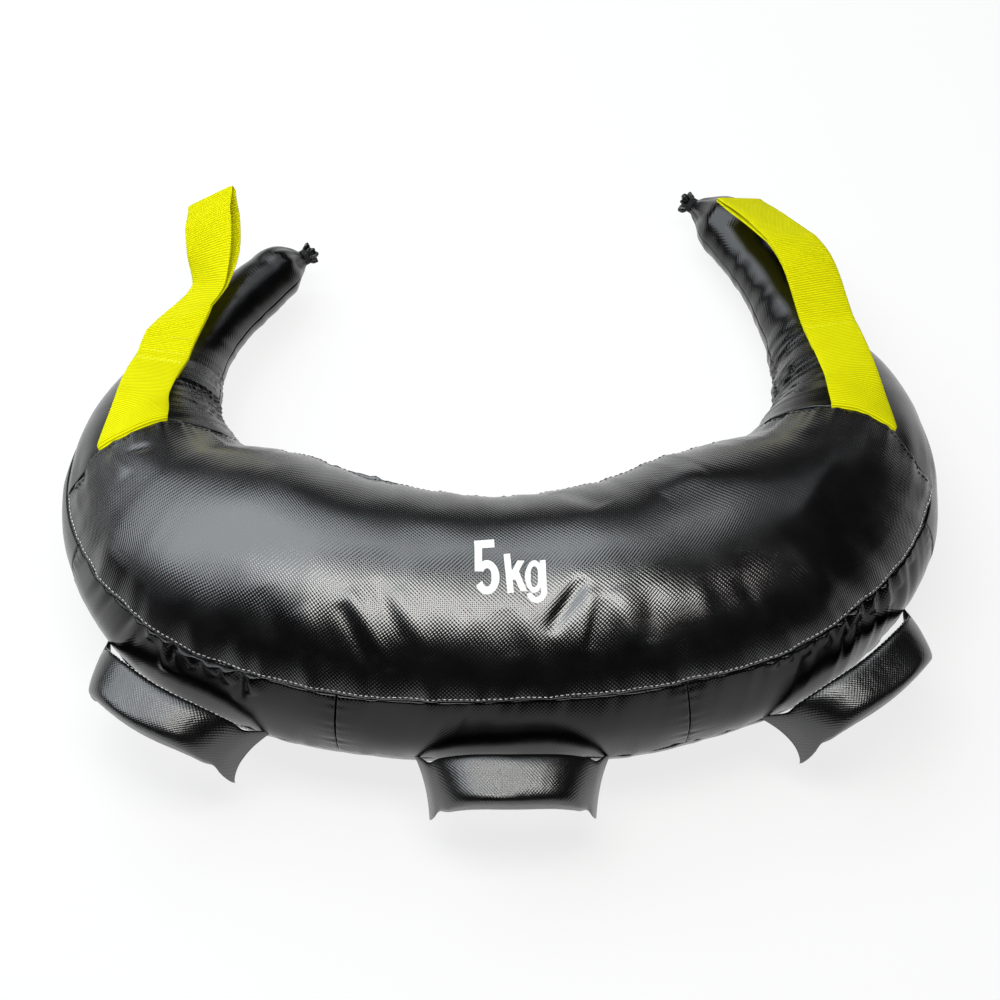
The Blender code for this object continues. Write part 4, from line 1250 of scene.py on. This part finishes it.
def make_grip(side, pouch, flip):
    """A padded grip: its vinyl cover, the foam rod and the stitches of its sewn ends."""
    grip = Grip(GRIP_SHARES[side])
    mesh, flap = pouch[0].copy(), pouch[1]
    shape = np.zeros(len(mesh.vertices) * 3)
    mesh.vertices.foreach_get("co", shape)
    shape = shape.reshape(-1, 3)
    v = shape[:, 0] / (POUCH_LENGTH / 2) * flip
    level = -shape[:, 2]
    corner = soft_step((np.abs(v) - 0.86) / 0.14)
    pinch = 1 - 0.12 * np.exp(-((np.abs(v) - 0.85) / 0.06) ** 2)
    v = v * (1 - 0.045 * corner * (1 - np.abs(level / POUCH_HALF_HEIGHT) ** 2))
    level = level * pinch
    if side != "center":
        level = level - 0.14 * np.maximum(level, 0.0) * (1 - np.abs(v) ** 8)
    places = grip.bend(v, level, shape[:, 1] * 1.02)
    mesh.vertices.foreach_set("co", places.ravel())
    mesh.shade_smooth()
    mesh.materials.append(GRIP_VINYL)
    if flip < 0:
        mesh.flip_normals()
    piece = in_scene(bpy.data.objects.new(f"grip_{side}_cover", mesh))
    fit(piece, f"{side}_grip", [f"grip_{side}_sleeve"])
    turns = circle(24)
    reach = np.linspace(-0.74, 0.74, 25)
    radius = FOAM_RADIUS * np.sqrt(np.maximum(1 - np.abs(reach / 0.78) ** 8, 0.2))
    rod = np.stack([grip.bend(np.full(24, s), r * 1.6 * np.cos(turns), r * 0.8 * np.sin(turns))
                    for s, r in zip(reach, radius)])
    rod = add_mesh(f"grip_{side}_rod", rod, capped_faces(25, 24), FOAM)
    fit(rod, f"{side}_grip", [f"grip_{side}_core"])
    for end in (-1, 1):
        for face, letter in ((1, "a"), (-1, "b")):
            reach = np.linspace(-0.60, 0.80, 38)
            line = grip.bend(0.925 * end * (0.955 + 0.045 * reach ** 2), reach * POUCH_HALF_HEIGHT,
                             np.full(38, face * 2.2 * MM))
            ups = np.cross(np.gradient(line, axis=0), np.broadcast_to(grip.along, line.shape))
            name = f"grip_{side}_{'right' if end > 0 else 'left'}_end_stitches_{letter}"
            stitch_line(name, line, ups, END_STITCH, BLACK_THREAD, f"{side}_grip")
    if side != "center":
        place = flap[:, 0] / (POUCH_LENGTH / 2) * flip, -flap[:, 2]
        line = grip.bend(*place, flap[:, 1] + 0.5 * MM)
        ups = line - grip.bend(*place, flap[:, 1])
        stitch_line(f"grip_{side}_flap_stitches", line, ups, FLAP_STITCH, WHITE_THREAD, f"{side}_grip")


def make_grips():
    """The three padded grips."""
    outer = inflated_pouch(91)
    make_grip("left", outer, 1)
    make_grip("right", outer, -1)
    make_grip("center", inflated_pouch(92), 1)


def dress_hidden_nodes():
    """Finishes of the CAD nodes that stay as they are."""
    for name in ("strap_left_anchor", "strap_right_anchor"):
        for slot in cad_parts[name].material_slots:
            slot.material = WEBBING


def make_floor():
    """The pale floor, white to the camera and to glossy and see-through rays."""
    half = FLOOR_HALF_SIZE
    mesh = bpy.data.meshes.new("floor")
    corners = [(-half, -half, 0), (half, -half, 0), (half, half, 0), (-half, half, 0)]
    mesh.from_pydata(corners, [], [(0, 1, 2, 3)])
    floor = in_scene(bpy.data.objects.new("floor", mesh))
    floor.location.z = -FLOOR_DROP
    finish = Finish("floor_paint", Base_Color=(0.9, 0.9, 0.9, 1.0), Roughness=0.7, Specular_IOR_Level=0.0)
    rays = finish.node("ShaderNodeLightPath").socket.node.outputs
    seen = (Sum(finish, rays["Is Camera Ray"]) + Sum(finish, rays["Is Glossy Ray"])
            + Sum(finish, rays["Is Transmission Ray"]))
    seen = finish.math("MINIMUM", seen, 1.0) * FLOOR_GLOW
    glow = finish.node("ShaderNodeEmission", Strength=1.0)
    paint = Sum(finish, finish.shader.outputs[0])
    shown = finish.node("ShaderNodeMixShader", i0=seen, i1=paint, i2=glow)
    finish.tree.links.new(shown.socket, finish.tree.nodes["Material Output"].inputs["Surface"])
    mesh.materials.append(finish.material)


def make_world():
    """Dim light from around, a little brighter low down behind the bag."""
    world = bpy.data.worlds.new("studio")
    bpy.context.scene.world = world
    nodes = Nodes(world)
    sky = nodes.tree.nodes["Background"]
    sky.inputs["Color"].default_value = (1.0, 1.0, 1.0, 1.0)
    sight = nodes.node("ShaderNodeSeparateXYZ", Vector=nodes.node("ShaderNodeTexCoord"))
    eased = [nodes.node("ShaderNodeMapRange", {"interpolation_type": "SMOOTHSTEP"},
                        Value=Sum(nodes, sight.socket.node.outputs[axis]),
                        From_Min=low, From_Max=high, To_Min=start, To_Max=end)
             for axis, low, high, start, end in (("Z", 0.0, 0.12, 0.32, 0.0), ("Y", -0.5, 0.4, 0.15, 1.0))]
    level = nodes.math("MULTIPLY_ADD", *eased, WORLD_LEVEL)
    nodes.tree.links.new(level.socket, sky.inputs["Strength"])


def aim(item, place, target):
    """Put a lamp or the camera at a place and point it at a target."""
    item.location = Vector(place)
    item.rotation_euler = Vector(np.subtract(target, place)).to_track_quat("-Z", "Y").to_euler()


def make_stage():
    """The floor, the studio light and the photograph's camera."""
    make_floor()
    make_world()
    for name, place, target, size, power, colour in LAMPS:
        light = bpy.data.lights.new(name, "AREA")
        light.shape = "RECTANGLE"
        light.size, light.size_y = size
        light.energy = power
        light.color = colour
        aim(in_scene(bpy.data.objects.new(name, light)), place, target)
    data = bpy.data.cameras.new("photo_camera")
    data.sensor_width = SENSOR
    data.lens = FOCAL_PIXELS / IMAGE_PIXELS * SENSOR
    data.clip_start, data.clip_end = 0.01, 100
    camera = in_scene(bpy.data.objects.new("photo_camera", data))
    aim(camera, CAMERA_PLACE, CAMERA_TARGET)
    bpy.context.scene.camera = camera
    bpy.context.scene.view_settings.view_transform = "Standard"


make_stage()
make_skin()
make_filling()
make_stitches()
make_lettering()
make_tip("left", 0.0, -1.0)
make_tip("right", 1.0, 1.0)
make_strap("left")
make_strap("right")
make_grips()
dress_hidden_nodes()
